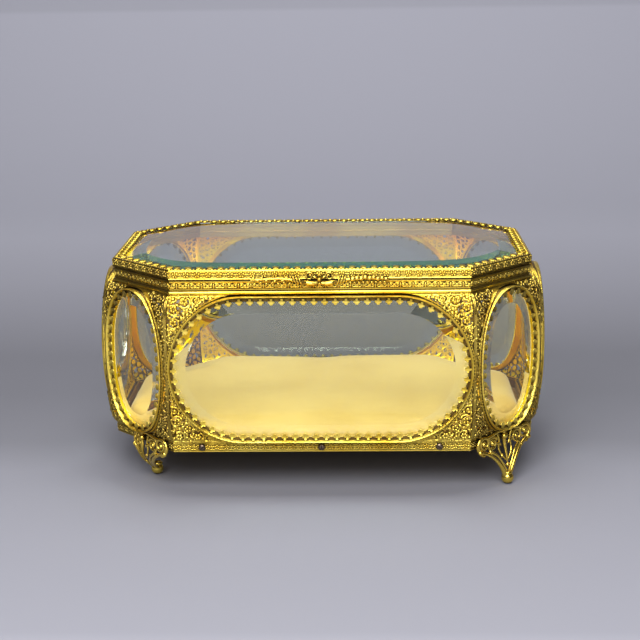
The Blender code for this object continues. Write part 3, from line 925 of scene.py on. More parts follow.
T_PRONG = [
    (0.55, 2.3),
    (0.5, 1.35),
    (1.15, 1.25),
    (1.5, 1.05),
    (1.5, 0.45),
    (0.85, 0.25),
    (0.75, -0.25),
    (0.4, -0.6),
]
SPADE_PRONG = [(0.8, 2.3), (0.65, 1.45), (1.2, 1.15), (1.45, 0.5), (1.05, -0.1), (0.45, -0.55)]
t_prong = tab("t_prong", T_PRONG)
spade_prong = tab("spade_prong", SPADE_PRONG)
print("a prong has", len(t_prong.data.polygons), "faces")

# %% Fold a row of prongs over each pane's edge
PRONG_COUNTS = {"long": 70, "end": 40, "corner": 36}
PRONG_LIFT, PRONG_TILT = 5.5 * MM, math.radians(8)
# painted shade: above this height the corner windows' prongs and beads take the darker gilt
CORNER_SHADE_HEIGHT = 78 * MM  # below this the corner windows' prongs and beads are as bright as the rest


def prongs(kind, master):
    count = PRONG_COUNTS[kind]
    points, outward, _ = outline(kind, count)
    matrices = []
    for spot, out in zip(points, outward):
        # the plate's Y points out of the window, and its Z towards the front
        facing = Matrix(((out[1], out[0], 0, 0), (0, 0, -1, 0), (-out[0], out[1], 0, 0), (0, 0, 0, 1)))
        seat = Matrix.Translation((spot[0], -PRONG_LIFT, WINDOW_CENTRE + spot[1]))
        matrices.append(seat @ facing @ Matrix.Rotation(PRONG_TILT, 4, "X"))
    return paint(repeated(f"{kind}_prongs", master, matrices), gilt)


rows_of_prongs = {
    "long": prongs("long", t_prong),
    "end": prongs("end", t_prong),
    "corner": prongs("corner", spade_prong),
}
for side, (kind, _, _) in SIDES.items():
    frame_ring = copied(f"ring_copy_{side}", rings[kind], side_matrix(side))
    frame_prongs = copied(f"prong_copy_{side}", rows_of_prongs[kind], side_matrix(side))
    window_ring = joined(f"window_ring_{side}", frame_prongs, frame_ring)
    dress(paint_corner_shade(window_ring, CORNER_SHADE_HEIGHT))
print("prongs:", sum(PRONG_COUNTS[kind] for kind, _, _ in SIDES.values()))

# %% [markdown]
# ## The filigree spandrels
# Between a round window and a square panel four spandrels are left, filled with scrolls and small flowers.
# Such a pattern packs like foam: the largest round that fits goes into the corner, and smaller ones fill
# what is left, each touching its neighbours. So the circles are found that way, with the same result each
# time. A large one becomes a flower, a middling one a scroll, and a small one a hook or a bead.

# %% Pack circles into a spandrel
CELL = 0.3  # the step of the grid on which room is measured, in millimetres
RING_EDGE = 4.2  # how far the ring's flank reaches out from the window, in millimetres
EDGE_ROOM = 0.9  # what the wires along a panel's edges take, in millimetres
MIDDLE_ROOM = 0.3  # what is kept free beside the middle line, where a round would meet its mirror image
LARGEST_ROUND, SMALLEST_ROUND = 2.9, 0.42


def spandrel_room(kind, upper):
    """Cells of the right-hand spandrel, in millimetres, and how far each is from everything."""
    half = HALVES[kind] / MM
    length = SURFACE_LENGTH / MM
    low, high = (length / 2, length) if upper else (0, length / 2)
    across, along = np.meshgrid(np.arange(0, half + 2, CELL), np.arange(low, high, CELL))
    cells = np.column_stack([across.ravel(), along.ravel()])
    heights = np.interp(cells[:, 1] * MM, DISTANCES, HEIGHTS) / MM
    reaches = np.interp(cells[:, 1] * MM, DISTANCES, REACHES) / MM
    post = half + CORNER_SLOPE * reaches - EDGE_ROOM - cells[:, 0]
    ends = np.minimum(cells[:, 1] - EDGE_ROOM, length - 0.4 - cells[:, 1])
    points, outward, _ = outline(kind, 240)
    rim = (points + outward * RING_EDGE * MM) / MM
    offsets = np.column_stack([cells[:, 0], heights - WINDOW_CENTRE / MM])[:, None, :] - rim[None]
    gaps = np.hypot(offsets[..., 0], offsets[..., 1])
    nearest = gaps.argmin(axis=1)
    chosen = offsets[np.arange(len(cells)), nearest]
    outside = np.sign((chosen * outward[nearest]).sum(axis=1))
    ring_gap = gaps.min(axis=1) * outside
    return cells, np.minimum(np.minimum(post, ends), ring_gap)


def packed_circles(cells, room, largest, smallest):
    room = np.minimum(room, cells[:, 0] - MIDDLE_ROOM)
    circles = []
    while True:
        fitting = np.minimum(room, largest)
        best = int(np.argmax(fitting + 1e-4 * cells[:, 0]))
        if fitting[best] < smallest:
            return circles
        radius = float(fitting[best])
        circles.append((float(cells[best, 0]), float(cells[best, 1]), radius))
        room = np.minimum(room, np.hypot(*(cells - cells[best]).T) - radius)


for kind in WINDOWS:
    rounds = packed_circles(*spandrel_room(kind, True), LARGEST_ROUND, SMALLEST_ROUND)
    print(kind, "upper spandrel:", len(rounds), "rounds")

# %% [markdown]
# The largest rounds hold a flower of four to six petals in an open scroll, and the others a scroll or a bead.
# From each of them a few leaves stray over its neighbours, every way, so that no row or grid shows.

# %% Turn each round into an ornament
FLOWER_ROUND, SCROLL_ROUND, HOOK_ROUND = 2.4, 1.5, 0.9  # the smallest radius that holds each


def flower(centre, radius, petals, turn):
    """The petals, and the bead in their middle."""
    angles = [turn + petal * math.tau / petals for petal in range(petals)]
    roots = [polar(centre, angle, radius * 0.2) for angle in angles]
    strokes = [leaf(root, angle, radius * 0.8, radius * 0.72) for root, angle in zip(roots, angles)]
    return strokes, [(*centre, radius * 0.26)]


def ornament(circles, chance):
    """The wires, the leaves that lie over them, and the beads, for a pack of circles."""
    wires, leaves, spots = [], [], []
    for number, (across, along, radius) in enumerate(circles):
        centre = (across, along)
        turn = chance.uniform(0, math.tau)
        hand = 1 if number % 2 else -1
        rim = radius - 0.25
        if radius > SCROLL_ROUND:
            turns = chance.uniform(0.8, 1.35)
            wires.append(scroll(centre, rim, turn, hand, turns, 0.85 + 0.07 * radius, 0.35, 20))
        elif radius > HOOK_ROUND:
            wires.append(scroll(centre, rim, turn, hand, turns=0.8, tight=0.6, width=0.7, steps=10))
        if radius > FLOWER_ROUND:
            petals, dots = flower(centre, rim * 0.72, chance.choice((4, 5, 6)), turn)
            leaves += petals
            spots += dots
        else:
            spots.append((*centre, 0.38 + 0.28 * radius))
        sprigs = int(1 + 1.3 * radius)
        for sprig in range(sprigs):
            angle = turn + (sprig + chance.uniform(-0.3, 0.3)) * math.tau / sprigs
            root = polar(centre, angle, 0.8 * rim)
            lean = angle + hand * chance.uniform(0.5, 1.3)
            length, width = chance.uniform(1.4, 2.9), chance.uniform(0.85, 1.45)
            leaves.append(leaf(root, lean, length, width, bend=hand * 0.7))
    return wires, leaves, spots


# %% [markdown]
# Plain wires close the pattern along the posts and along the upper and lower edges. Then all strokes of one
# panel are swept, mirrored left to right, with the leaves a little higher than the wires that they cross.

# %% Lay out the lace of one panel
POST_STEPS, RAIL_STEPS = 40, 24
LEAF_LIFT = 0.3 * MM


def edge_strokes(kind):
    """The plain wires along a panel's posts and its upper and lower edges."""
    half = HALVES[kind] / MM
    length = SURFACE_LENGTH / MM
    post = []
    for step in range(POST_STEPS + 1):
        along = 0.5 + (length - 0.8) * step / POST_STEPS
        reach = float(np.interp(along * MM, DISTANCES, REACHES)) / MM
        post.append((half + CORNER_SLOPE * reach - 0.4, along, 0.95))
    strokes = [post]
    for along, width in ((0.55, 1.1), (1.5, 0.5), (length - 0.45, 0.9)):
        reach = float(np.interp(along * MM, DISTANCES, REACHES)) / MM
        end = half + CORNER_SLOPE * reach - 0.5
        strokes.append([(end * step / RAIL_STEPS, along, width) for step in range(RAIL_STEPS + 1)])
    return strokes


def filigree(kind):
    """The flat lace of one panel, laid on the swell: wires first, then the leaves a little higher."""
    chance = random.Random(f"{kind} spandrels")
    wires, leaves, spots = edge_strokes(kind), [], []
    for upper in (True, False):
        circles = packed_circles(*spandrel_room(kind, upper), LARGEST_ROUND, SMALLEST_ROUND)
        for found, more in zip((wires, leaves, spots), ornament(circles, chance)):
            found += more
    over = drawn("leaves", leaves + flipped(leaves))
    over.data.transform(Matrix.Translation((0, 0, LEAF_LIFT)))
    dots = beads("dots", spots + mirrored(spots))
    return joined(f"{kind}_filigree", dots, over, drawn("wires", wires + flipped(wires)))


# %% [markdown]
# Behind the lace is the sheet itself, pierced with small ovals and drops that lie every way, so that light
# comes through between the wires. Its outer side is dark brown, partly tarnish and partly painted shade
# between the wires, and its inner side is lacquered amber.

# %% Pierce the sheet
SHEET_EDGE = 3.4  # the sheet's opening lies under the ring, this far out from the window, in millimetres
SHEET_THICKNESS = 0.36
LARGEST_HOLE, SMALLEST_HOLE, HOLE_CORNERS = 1.6, 0.4, 9
SHEET_MARGIN, SHEET_SINK = 0.25 * MM, 0.1 * MM


def sheet_outline(kind):
    """The edge of one panel, anticlockwise from the lower left, with even steps."""
    length = SURFACE_LENGTH / MM
    alongs = np.linspace(0.1, length - 0.1, 46)
    ends = HALVES[kind] / MM + CORNER_SLOPE * np.interp(alongs * MM, DISTANCES, REACHES) / MM - 0.25
    steps = round(ends.max())
    edge = list(zip(ends, alongs))
    lower = [(ends[0] * (2 * step / steps - 1), alongs[0]) for step in range(steps)]
    upper = [(ends[-1] * (1 - 2 * step / steps), alongs[-1]) for step in range(steps)]
    return lower + edge[:-1] + upper + [(-across, along) for across, along in edge[:0:-1]]


def sheet_opening(kind):
    points, outward, _ = outline(kind, 180)
    rim = points + outward * SHEET_EDGE * MM
    heights = np.clip(rim[:, 1] + WINDOW_CENTRE, PANEL_BOTTOM + SHEET_MARGIN, PANEL_TOP - SHEET_MARGIN)
    return list(zip(rim[:, 0] / MM, np.interp(heights, HEIGHTS, DISTANCES) / MM))


def hole(across, along, radius, chance):
    """One oval or drop that fits in a round."""
    turn, drop = chance.uniform(0, math.tau), chance.uniform(0.1, 0.6)
    length, width = radius * chance.uniform(0.75, 0.95), radius * chance.uniform(0.35, 0.8)
    cosine, sine = math.cos(turn), math.sin(turn)
    loop = []
    for step in range(HOLE_CORNERS):
        angle = step / HOLE_CORNERS * math.tau
        x = length * math.cos(angle)
        y = width * math.sin(angle) * (1 - drop * math.cos(angle))
        loop.append((across + x * cosine - y * sine, along + x * sine + y * cosine))
    return loop


def sheet_holes(kind):
    """The holes of one panel, and their mirror images."""
    chance = random.Random(f"{kind} holes")
    loops = []
    for upper in (True, False):
        for found in packed_circles(*spandrel_room(kind, upper), LARGEST_HOLE, SMALLEST_HOLE):
            loop = hole(*found, chance)
            loops += [loop, [(-x, y) for x, y in loop]]
    return loops


def sheet(kind):
    """The pierced sheet behind the wires, lacquered amber on its inner side."""
    loops = [sheet_outline(kind), sheet_opening(kind), *sheet_holes(kind)]
    # the outer face takes the dark brown of tarnish and painted shade, the inner face the amber
    made = paint(cut_plate(f"{kind}_sheet", loops, SHEET_THICKNESS), tarnish_and_shade, amber)
    for face in made.data.polygons:
        face.material_index = int(face.normal.z < -0.5)
    made.data.transform(Matrix.Translation((0, 0, -SHEET_SINK)))
    return move_corners(made, on_panel)


# %% Make the three kinds of panel and copy them to the eight sides
filigrees = {}
for kind in WINDOWS:
    lace = paint(move_corners(filigree(kind), on_panel), gilt)
    filigrees[kind] = joined(f"{kind}_filigree", lace, sheet(kind))
    print(kind, "filigree:", len(filigrees[kind].data.polygons), "faces")

for side, (kind, _, _) in SIDES.items():
    lace = copied(f"filigree_{side}", filigrees[kind], side_matrix(side))
    dress(paint_corner_shade(lace), replaces=[f"panel_{side}"])

# %% [markdown]
# ## The bevelled panes
# A pane is flat plate with a ground bevel round its outer face. Its grid starts at the middle of the back,
# runs out to the edge, over the bevel and in to the middle of the front, so one bend makes the whole pane.

# %% Bend the panes
PANE_BACK, PANE_EDGE_FRONT, PANE_FRONT = 1.5 * MM, 3.1 * MM, 4.7 * MM
PANE_GROW, PANE_BEVEL = 1.4 * MM, 6 * MM


def pane(kind, steps):
    points, outward, _ = outline(kind, steps)
    rows = [(PANE_GROW, PANE_BACK), (PANE_GROW, PANE_EDGE_FRONT), (PANE_GROW - PANE_BEVEL, PANE_FRONT)]

    def place(column, row):
        if row == 0:
            return (0, -PANE_BACK, WINDOW_CENTRE)
        if row == len(rows) + 1:
            return (0, -PANE_FRONT, WINDOW_CENTRE)
        grow, reach = rows[row - 1]
        spot = points[column % steps] + outward[column % steps] * grow
        return (spot[0], -reach, WINDOW_CENTRE + spot[1])

    return bent_grid(f"{kind}_pane", steps, len(rows) + 1, place, angle=9)


panes = {kind: pane(kind, steps // 2) for kind, steps in RING_STEPS.items()}
for side, (kind, _, _) in SIDES.items():
    plate = copied(f"pane_{side}", panes[kind], side_matrix(side))
    paint(plate, shaded_long_pane_glass if kind == "long" else pane_glass)
    dress(plate, replaces=[f"glass_{side}"])
print("panes:", len(SIDES))

# %% [markdown]
# ## Bands round the case
# The rim, the base and the lid's bezel are strips of stamped brass, mitred at the eight corners. Each is a
# grid bent round the plan with its section as the other direction. The stamped running ornament is drawn
# once, repeated a whole number of times along every side, and let into the strip by half.

# %% Bend a band and run an ornament along it


def band(name, rows, ground, inner=()):
    """A closed section of (reach, height) in millimetres, carried round the eight sides.

    The ground rows take a dark brown that is partly tarnish and partly painted shade, and the inner rows are
    plain aged brass."""
    closed = rows + rows[:1]
    plans = [octagon(reach * MM) for reach, _ in closed]

    def place(column, row):
        return (*plans[row][column % len(SIDES)], closed[row][1] * MM)

    return paint(bent_grid(name, len(SIDES), len(closed) - 1, place, 30, ground, inner), gilt, tarnish_and_shade, aged)


def running(name, motif, pitch, reach, height):
    """A motif (strokes, beads) repeated along all eight sides at a reach and height, in millimetres."""
    strokes, spots = motif
    parts = []
    for side, (kind, _, _) in SIDES.items():
        half = HALVES[kind] / MM + CORNER_SLOPE * reach - 0.3
        count = max(1, round(2 * half / pitch))
        step = 2 * half / count
        stretch = step / pitch
        laid, dots = [], []
        for number in range(count):
            middle = -half + step * (number + 0.5)
            laid += [[(middle + a * stretch, b, w) for a, b, w in stroke] for stroke in strokes]
            dots += [(middle + a * stretch, b, r) for a, b, r in spots]
        flat = paint(joined(f"{name}_{side}", beads("dots", dots), drawn("wires", laid)), gilt)

        def upright(points):
            return np.column_stack([points[:, 0], -(points[:, 2] + reach * MM), points[:, 1] + height * MM])

        move_corners(flat, upright)
        flat.data.transform(side_matrix(side))
        parts.append(flat)
    return joined(name, *parts)


# %% [markdown]
# The running ornament is the usual one on such boxes: a pair of small scrolls back to back under a leaf, with
# a bead between one pair and the next.

# %% Draw the running ornaments


def scroll_motif(size, pitch):
    """Two scrolls back to back, a leaf over them and a bead between the pairs."""
    right = [
        scroll((0.25 * pitch, 0.02 * size), 0.4 * size, math.pi / 2, -1, turns=1.3, width=0.68, steps=12),
        leaf((0.06 * pitch, 0.42 * size), 0.2, 0.3 * pitch, 0.75, bend=-0.6),
        leaf((0.36 * pitch, -0.42 * size), 0.1, 0.2 * pitch, 0.7, bend=0.8),
    ]
    strokes = right + flipped(right) + [leaf((0, -0.5 * size), math.pi / 2, 0.95 * size, 0.85)]
    eye = [(0.25 * pitch, 0.02 * size, 0.36)]
    return strokes, [(pitch / 2, 0, 0.62), *eye, *mirrored(eye)]


def flower_motif(size, pitch):
    """A small flower and a curled leaf either side of it."""
    strokes, spots = flower((0, 0), 0.52 * size, 5, math.pi / 2)
    side = [scroll((0.36 * pitch, -0.1 * size), 0.32 * size, math.pi, 1, turns=1.1, width=0.62, steps=10)]
    side.append(leaf((0.24 * pitch, 0.36 * size), 0.1, 0.28 * pitch, 0.7, bend=-0.4))
    return strokes + side + flipped(side), spots + [(pitch / 2, 0.38 * size, 0.35)]


print("motifs of", len(scroll_motif(1, 1)[0]), "and", len(flower_motif(1, 1)[0]), "strokes")

# %% [markdown]
# The rim's section starts at the ledge that the lid rests on. It goes down over the upper bead, the ground of
# the running scrolls, a fine ridge and the moulding at its foot, and comes back up inside the case.

# %% Build the rim
RIM_PITCH, RIM_ORNAMENT = 5.6, 2.6
rim_bottom, rim_top = rim_low.z / MM, rim_high.z / MM
rim_rows = [
    (-0.9, rim_top + 0.35),
    (-0.75, rim_top + 0.05),
    (-0.35, rim_top - 0.15),
    (-0.3, rim_top - 0.5),
    (-0.5, rim_top - 0.85),
    (-0.95, rim_top - 1.0),
    (-0.95, rim_bottom + 2.75),
    (-0.65, rim_bottom + 2.5),
    (-0.6, rim_bottom + 2.15),
    (-0.95, rim_bottom + 1.85),
    (-0.95, rim_bottom + 1.5),
    (-0.25, rim_bottom + 1.4),
    (-0.1, rim_bottom + 1.15),
    (-0.1, rim_bottom + 0.3),
    (-0.25, rim_bottom - 0.1),
    (-0.35, rim_bottom - 0.6),
    (-1.4, rim_bottom - 0.6),
    (-1.4, rim_bottom + 1.2),
    (-1.9, rim_bottom + 1.5),
    (-1.9, rim_bottom + 2.3),
    (-1.5, rim_bottom + 2.5),
    (-1.5, rim_top - 1.6),
    (-2.1, rim_top - 1.3),
    (-2.1, rim_top + 0.35),
]
rim_strip = band("rim_strip", rim_rows, ground=(0, 5, 9), inner=range(15, 24))
rim_middle = (rim_bottom + 2.75 + rim_top - 1.0) / 2
rim_lace = running("rim_lace", scroll_motif(RIM_ORNAMENT, RIM_PITCH), RIM_PITCH, -0.85, rim_middle)
rim = paint_corner_shade(joined("embossed_rim", rim_lace, rim_strip))
dress(rim, replaces=["upper_rim"])
print("rim:", len(rim.data.polygons), "faces")

# %% [markdown]
# The base band stands a little proud of the panels. It has a low ridge at its top and one at its foot, and
# flowers run between them.

# %% Build the base band
BASE_PITCH, BASE_ORNAMENT = 4.4, 3.0
base_bottom, base_top = band_low.z / MM, band_high.z / MM
base_rows = [
    (0.4, base_top + 0.5),
    (0.9, base_top + 0.2),
    (1.3, base_top),
    (1.42, base_top - 0.3),
    (1.3, base_top - 0.6),
    (1.1, base_top - 0.75),
    (1.1, base_bottom + 0.8),
    (1.35, base_bottom + 0.65),
    (1.4, base_bottom + 0.3),
    (1.1, base_bottom),
    (0.4, base_bottom),
]
base_strip = band("base_strip", base_rows, ground=(0,))
base_middle = (base_top - 0.8 + base_bottom + 1.0) / 2
base_lace = running("base_lace", flower_motif(BASE_ORNAMENT, BASE_PITCH), BASE_PITCH, 1.2, base_middle)
base = paint_corner_shade(joined("embossed_base", base_lace, base_strip))
dress(base, replaces=["base_band"])
print("base band:", len(base.data.polygons), "faces")

# %% [markdown]
# The bezel is a channel that grips the lid's glass: a moulding at its foot, an embossed face, and a flange
# above and below that reaches in over the plate.

# %% Build the bezel
BEZEL_PITCH, BEZEL_ORNAMENT = 4.9, 3.2
lid_bottom, lid_top = lid_low.z / MM, lid_high.z / MM
bezel_rows = [
    (-0.8, lid_bottom - 0.15),
    (-0.2, lid_bottom),
    (0.12, lid_bottom + 0.3),
    (0.0, lid_bottom + 0.65),
    (-0.4, lid_bottom + 0.8),
    (-0.4, lid_top - 0.7),
    (-0.34, lid_top - 0.5),
    (-0.45, lid_top - 0.2),
    (-0.7, lid_top - 0.05),
    (-1.1, lid_top - 0.15),
    (-1.1, lid_top - 0.3),
    (-2.8, lid_top - 0.4),
    (-3.4, lid_top - 0.55),
    (-3.4, lid_top - 0.8),
    (-0.9, lid_top - 0.8),
    (-0.9, lid_bottom + 0.6),
    (-2.6, lid_bottom + 0.6),
    (-2.6, lid_bottom - 0.15),
]
# rows 10 and 11 are the flange under the teeth, painted dark brown as shade between them
bezel_strip = band("bezel_strip", bezel_rows, ground=(0, 10, 11))
bezel_middle = (lid_top + lid_bottom) / 2 + 0.02
bezel_lace = running("bezel_lace", flower_motif(BEZEL_ORNAMENT, BEZEL_PITCH), BEZEL_PITCH, -0.3, bezel_middle)
print("bezel ornament:", len(bezel_lace.data.polygons), "faces")

# %% [markdown]
# The bezel's inner edge is cut into small leaf-shaped teeth that are folded down on the glass. One tooth is
# shaped and copied. A row of beads runs along the flange above them, every second one smaller, which gives
# the edge its rhythm.

# %% Fold the teeth over the lid's glass
TOOTH = [(0.7, 0.9), (0.8, -0.1), (1.35, -0.7), (1.4, -1.5), (0.8, -2.1), (0.0, -2.6)]
TOOTH_PITCH = 4.9
TOOTH_REACH, FLANGE_REACH = 3.0, 1.75
FLANGE_BEADS = (0.6, 0.85)
tooth = tab("tooth", TOOTH, thickness=0.95, rounding=0.3)
tooth_places, flange_places = [], []
for side, (kind, _, _) in SIDES.items():
    half = HALVES[kind] / MM - CORNER_SLOPE * TOOTH_REACH
    count = round(2 * half / TOOTH_PITCH)
    for number in range(count):
        across = -half + 2 * half * (number + 0.5) / count
        # the tooth's tip points over the glass, away from the side that the case faces
        laid = Matrix.Translation((across * MM, TOOTH_REACH * MM, (lid_top - 0.5) * MM))
        tooth_places.append(side_matrix(side) @ laid @ Matrix.Rotation(math.pi, 4, "Z"))
    half = HALVES[kind] / MM - CORNER_SLOPE * 1.6
    count = 2 * round(3 * half / TOOTH_PITCH)
    for number in range(count):
        across = -half + 2 * half * (number + 0.5) / count
        laid = Matrix.Translation((across * MM, FLANGE_REACH * MM, (lid_top - 0.25) * MM))
        size = FLANGE_BEADS[number % 2]
        flange_places.append(side_matrix(side) @ laid @ Matrix.Diagonal((size, size, 0.75 * size, 1)))
teeth = paint(repeated("teeth", tooth, tooth_places), gilt)
flange_beads = paint(repeated("flange_beads", bead, flange_places), gilt)
bezel = paint_corner_shade(joined("lid_bezel", flange_beads, bezel_lace, bezel_strip))
bezel = joined("lid_bezel", teeth, bezel)
dress(bezel, body="lid", replaces=["lid_frame"])
print("teeth:", len(tooth_places))

# %% [markdown]
# ## The lid's glass
# The lid is one plate, nearly 5 mm thick, whose wide bevel rises from a thin edge under the teeth to the
# clear middle. The bevel's inner line runs round the corners in a soft curve, because the plate was ground
# against a wheel. The octagon's corners are kept at the edge, and the inner line is the same walk smoothed.

# %% Grind the lid's plate
plate_low, plate_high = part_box("lid_glass")
EDGE_REACH, BEVEL_FOOT, BEVEL_HEAD = -1.2, -4.1, -13.1
EDGE_TOP = plate_high.z / MM - 1.5
SIDE_STEPS, BEVEL_SOFTNESS = 24, 60


def walked_octagon(reach, softness):
    """Points along the plan at a reach in millimetres, averaged with their neighbours to round it."""
    corners = np.array(octagon(reach * MM))
    shares = np.arange(SIDE_STEPS)[:, None] / SIDE_STEPS
    walk = np.concatenate([a + (b - a) * shares for a, b in zip(corners, np.roll(corners, -1, axis=0))])
    for _ in range(softness):
        walk = (np.roll(walk, 1, axis=0) + 2 * walk + np.roll(walk, -1, axis=0)) / 4
    return walk


plate_rows = [
    (walked_octagon(EDGE_REACH, 0), plate_low.z / MM),
    (walked_octagon(EDGE_REACH, 0), EDGE_TOP),
    (walked_octagon(BEVEL_FOOT, 0), EDGE_TOP),
    (walked_octagon(BEVEL_HEAD, BEVEL_SOFTNESS), plate_high.z / MM),
]


def plate_place(column, row):
    if row == 0:
        return (0, 0, plate_low.z)
    if row == len(plate_rows) + 1:
        return (0, 0, plate_high.z)
    walk, height = plate_rows[row - 1]
    return (*walk[column % len(walk)], height * MM)


lid_plate = bent_grid("lid_plate", len(SIDES) * SIDE_STEPS, len(plate_rows) + 1, plate_place, angle=3)
dress(paint(lid_plate, lid_plate_glass), body="lid", replaces=["lid_glass"])
print("lid's plate:", len(lid_plate.data.polygons), "faces")

# %% [markdown]
# ## The feet
# Each foot is an openwork casting on a corner side: two curved struts run from scrolls at the crown to a
# ball toe, with tendrils and a leaf between them. It is drawn flat as strokes of round section and then
# bent outwards from the base band to the toe. One foot's toe was knocked inwards long ago.

# %% Draw a foot
STRUT = [
    (15.8, 24.6),
    (16.9, 21.8),
    (15.6, 18.9),
    (12.2, 17.4),
    (8.8, 15.0),
    (5.6, 11.2),
    (3.2, 7.4),
    (1.7, 4.4),
]
STRUT_WIDTHS = [1.0, 1.7, 1.9, 1.7, 1.6, 1.7, 2.0, 2.3]
INNER_STRUT = [(10.3, 19.6), (8.4, 17.0), (5.6, 14.6), (3.4, 11.0), (1.6, 7.6), (0.7, 5.0)]
TENDRIL = [(4.6, 24.6), (3.4, 21.0), (4.0, 17.6), (2.9, 14.2), (0.4, 11.4)]
CROWN = [(15.2, 25.3), (11.4, 24.4), (7.2, 25.0), (3.4, 25.9), (0, 25.2)]
STEM = [(0, 25.4), (-0.2, 22.6), (0.1, 19.0), (0, 14.0), (0, 9.6)]


def foot_strokes():
    right = [
        along_curve(STRUT, STRUT_WIDTHS, 30),
        scroll((13.3, 21.9), 3.0, 0.2, 1, turns=1.6, width=1.6, steps=24),
        scroll((7.6, 20.9), 2.9, 2.6, -1, turns=1.6, width=1.4, steps=24),
        along_curve(INNER_STRUT, [1.2, 1.5, 1.1, 1.3, 1.6], 20),
        along_curve(TENDRIL, [0.8, 1.1, 0.9, 1.0, 0.7], 18),
        along_curve(CROWN, [1.2, 1.5, 1.5, 1.6, 1.8], 18),
        leaf((9.2, 15.6), 1.1, 4.4, 1.8, bend=0.9),
        leaf((2.4, 18.6), 1.2, 4.2, 1.7, bend=-0.9),
        leaf((12.6, 17.8), -0.9, 3.2, 1.6, bend=0.8),
    ]
    return right + flipped(right) + [along_curve(STEM, [1.2, 1.6, 1.7, 1.1, 0.7], 18)]


FOOT_DOTS = [(13.3, 21.9, 1.3), (7.6, 20.9, 1.1), (15.5, 18.7, 1.45), (2.9, 14.2, 0.9), (10.4, 16.2, 0.9)]
FOOT_CENTRE_DOTS = [(0, 22.8, 1.6), (0, 25.9, 1.2), (0, 9.2, 1.1)]


def foot_drawing():
    strokes = drawn("foot_strokes", foot_strokes(), full_round)
    dots = beads("foot_dots", FOOT_DOTS + mirrored(FOOT_DOTS) + FOOT_CENTRE_DOTS, flatness=1.0)
    return joined("foot_drawing", dots, strokes)


foot_flat = foot_drawing()
print("each foot:", len(foot_flat.data.polygons), "faces")

# %% [markdown]
# The drawing is bent in two ways at once: out from the base band to the toe, in a soft S, and along the side
# for the foot that was knocked inwards, whose outer half is also pressed narrow. The toe is a ball under a
# turned collar.

# %% Bend and cast the four feet
FOOT_CROWN_REACH, TOE_REACH = 3.1, 5.5
TOE_RADIUS = 2.9
BEND_START, BEND_EASE, FOOT_BELLY = 19.5, 1.6, 1.3
CROWN_SPREAD = 0.1
GOOD_FOOT = (0.0, TOE_REACH, 1.0)
KNOCKED_FOOT = (-5.6, -9.0, 0.3)  # the toe's place along the side, its reach, and the outer half's width


def bent_foot(toe_across, toe_reach, squeezed):
    """Points drawn flat go out from the crown to the toe along a soft S, and along the side with it."""

    def bend(flat):
        down = np.clip((BEND_START - flat[:, 1] / MM) / (BEND_START - TOE_RADIUS), 0, 1)
        ease = down**BEND_EASE
        reach = (FOOT_CROWN_REACH + (toe_reach - FOOT_CROWN_REACH) * ease) * MM
        belly = FOOT_BELLY * np.sin(np.pi * down) * MM
        spread = 1 + CROWN_SPREAD * (1 - ease)
        narrowed = np.where(flat[:, 0] < 0, squeezed, 1.0) * flat[:, 0] * spread
        across = narrowed + toe_across * ease * MM
        return np.column_stack([across, -(reach + belly + flat[:, 2]), flat[:, 1]])

    return bend


def toe(across, reach):
    """A ball with a turned collar above it."""
    select_only()
    bpy.ops.mesh.primitive_uv_sphere_add(
        segments=28,
        ring_count=18,
        radius=TOE_RADIUS * MM,
        location=(across * MM, -reach * MM, TOE_RADIUS * MM),
    )
    ball = bpy.context.object
    bpy.ops.object.transform_apply()
    bpy.ops.object.shade_smooth()
    select_only()
    bpy.ops.mesh.primitive_torus_add(
        major_segments=28,
        minor_segments=10,
        major_radius=1.55 * MM,
        minor_radius=0.75 * MM,
        location=(across * 0.94 * MM, -(reach - 0.1) * MM, (2 * TOE_RADIUS - 0.35) * MM),
    )
    collar = bpy.context.object
    bpy.ops.object.transform_apply()
    bpy.ops.object.shade_smooth()
    return joined("toe", ball, collar)


corner_sides = [side for side, (kind, _, _) in SIDES.items() if kind == "corner"]
for side in corner_sides:
    toe_across, toe_reach, squeezed = KNOCKED_FOOT if side == "front_left" else GOOD_FOOT
    casting = move_corners(copied("casting", foot_flat, Matrix()), bent_foot(toe_across, toe_reach, squeezed))
    foot = joined(f"cast_foot_{side}", toe(toe_across, toe_reach), casting)
    foot.data.transform(side_matrix(side))
    dress(paint(foot, polished_gilt), replaces=[f"foot_{side}"])
print("feet:", corner_sides)

# %% [markdown]
# ## The thumb lift
# A cast garland is soldered to the middle of the bezel: a ribbon bow, and a leafy spray either side of it.

# %% Cast the thumb lift
lift_low, lift_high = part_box("thumb_lift")
LIFT_HALF = (lift_high.x - lift_low.x) / 2 / MM
LIFT_HEIGHT = (lift_high.z + lift_low.z) / 2
LIFT_STANDS_OFF = 0.75 * MM


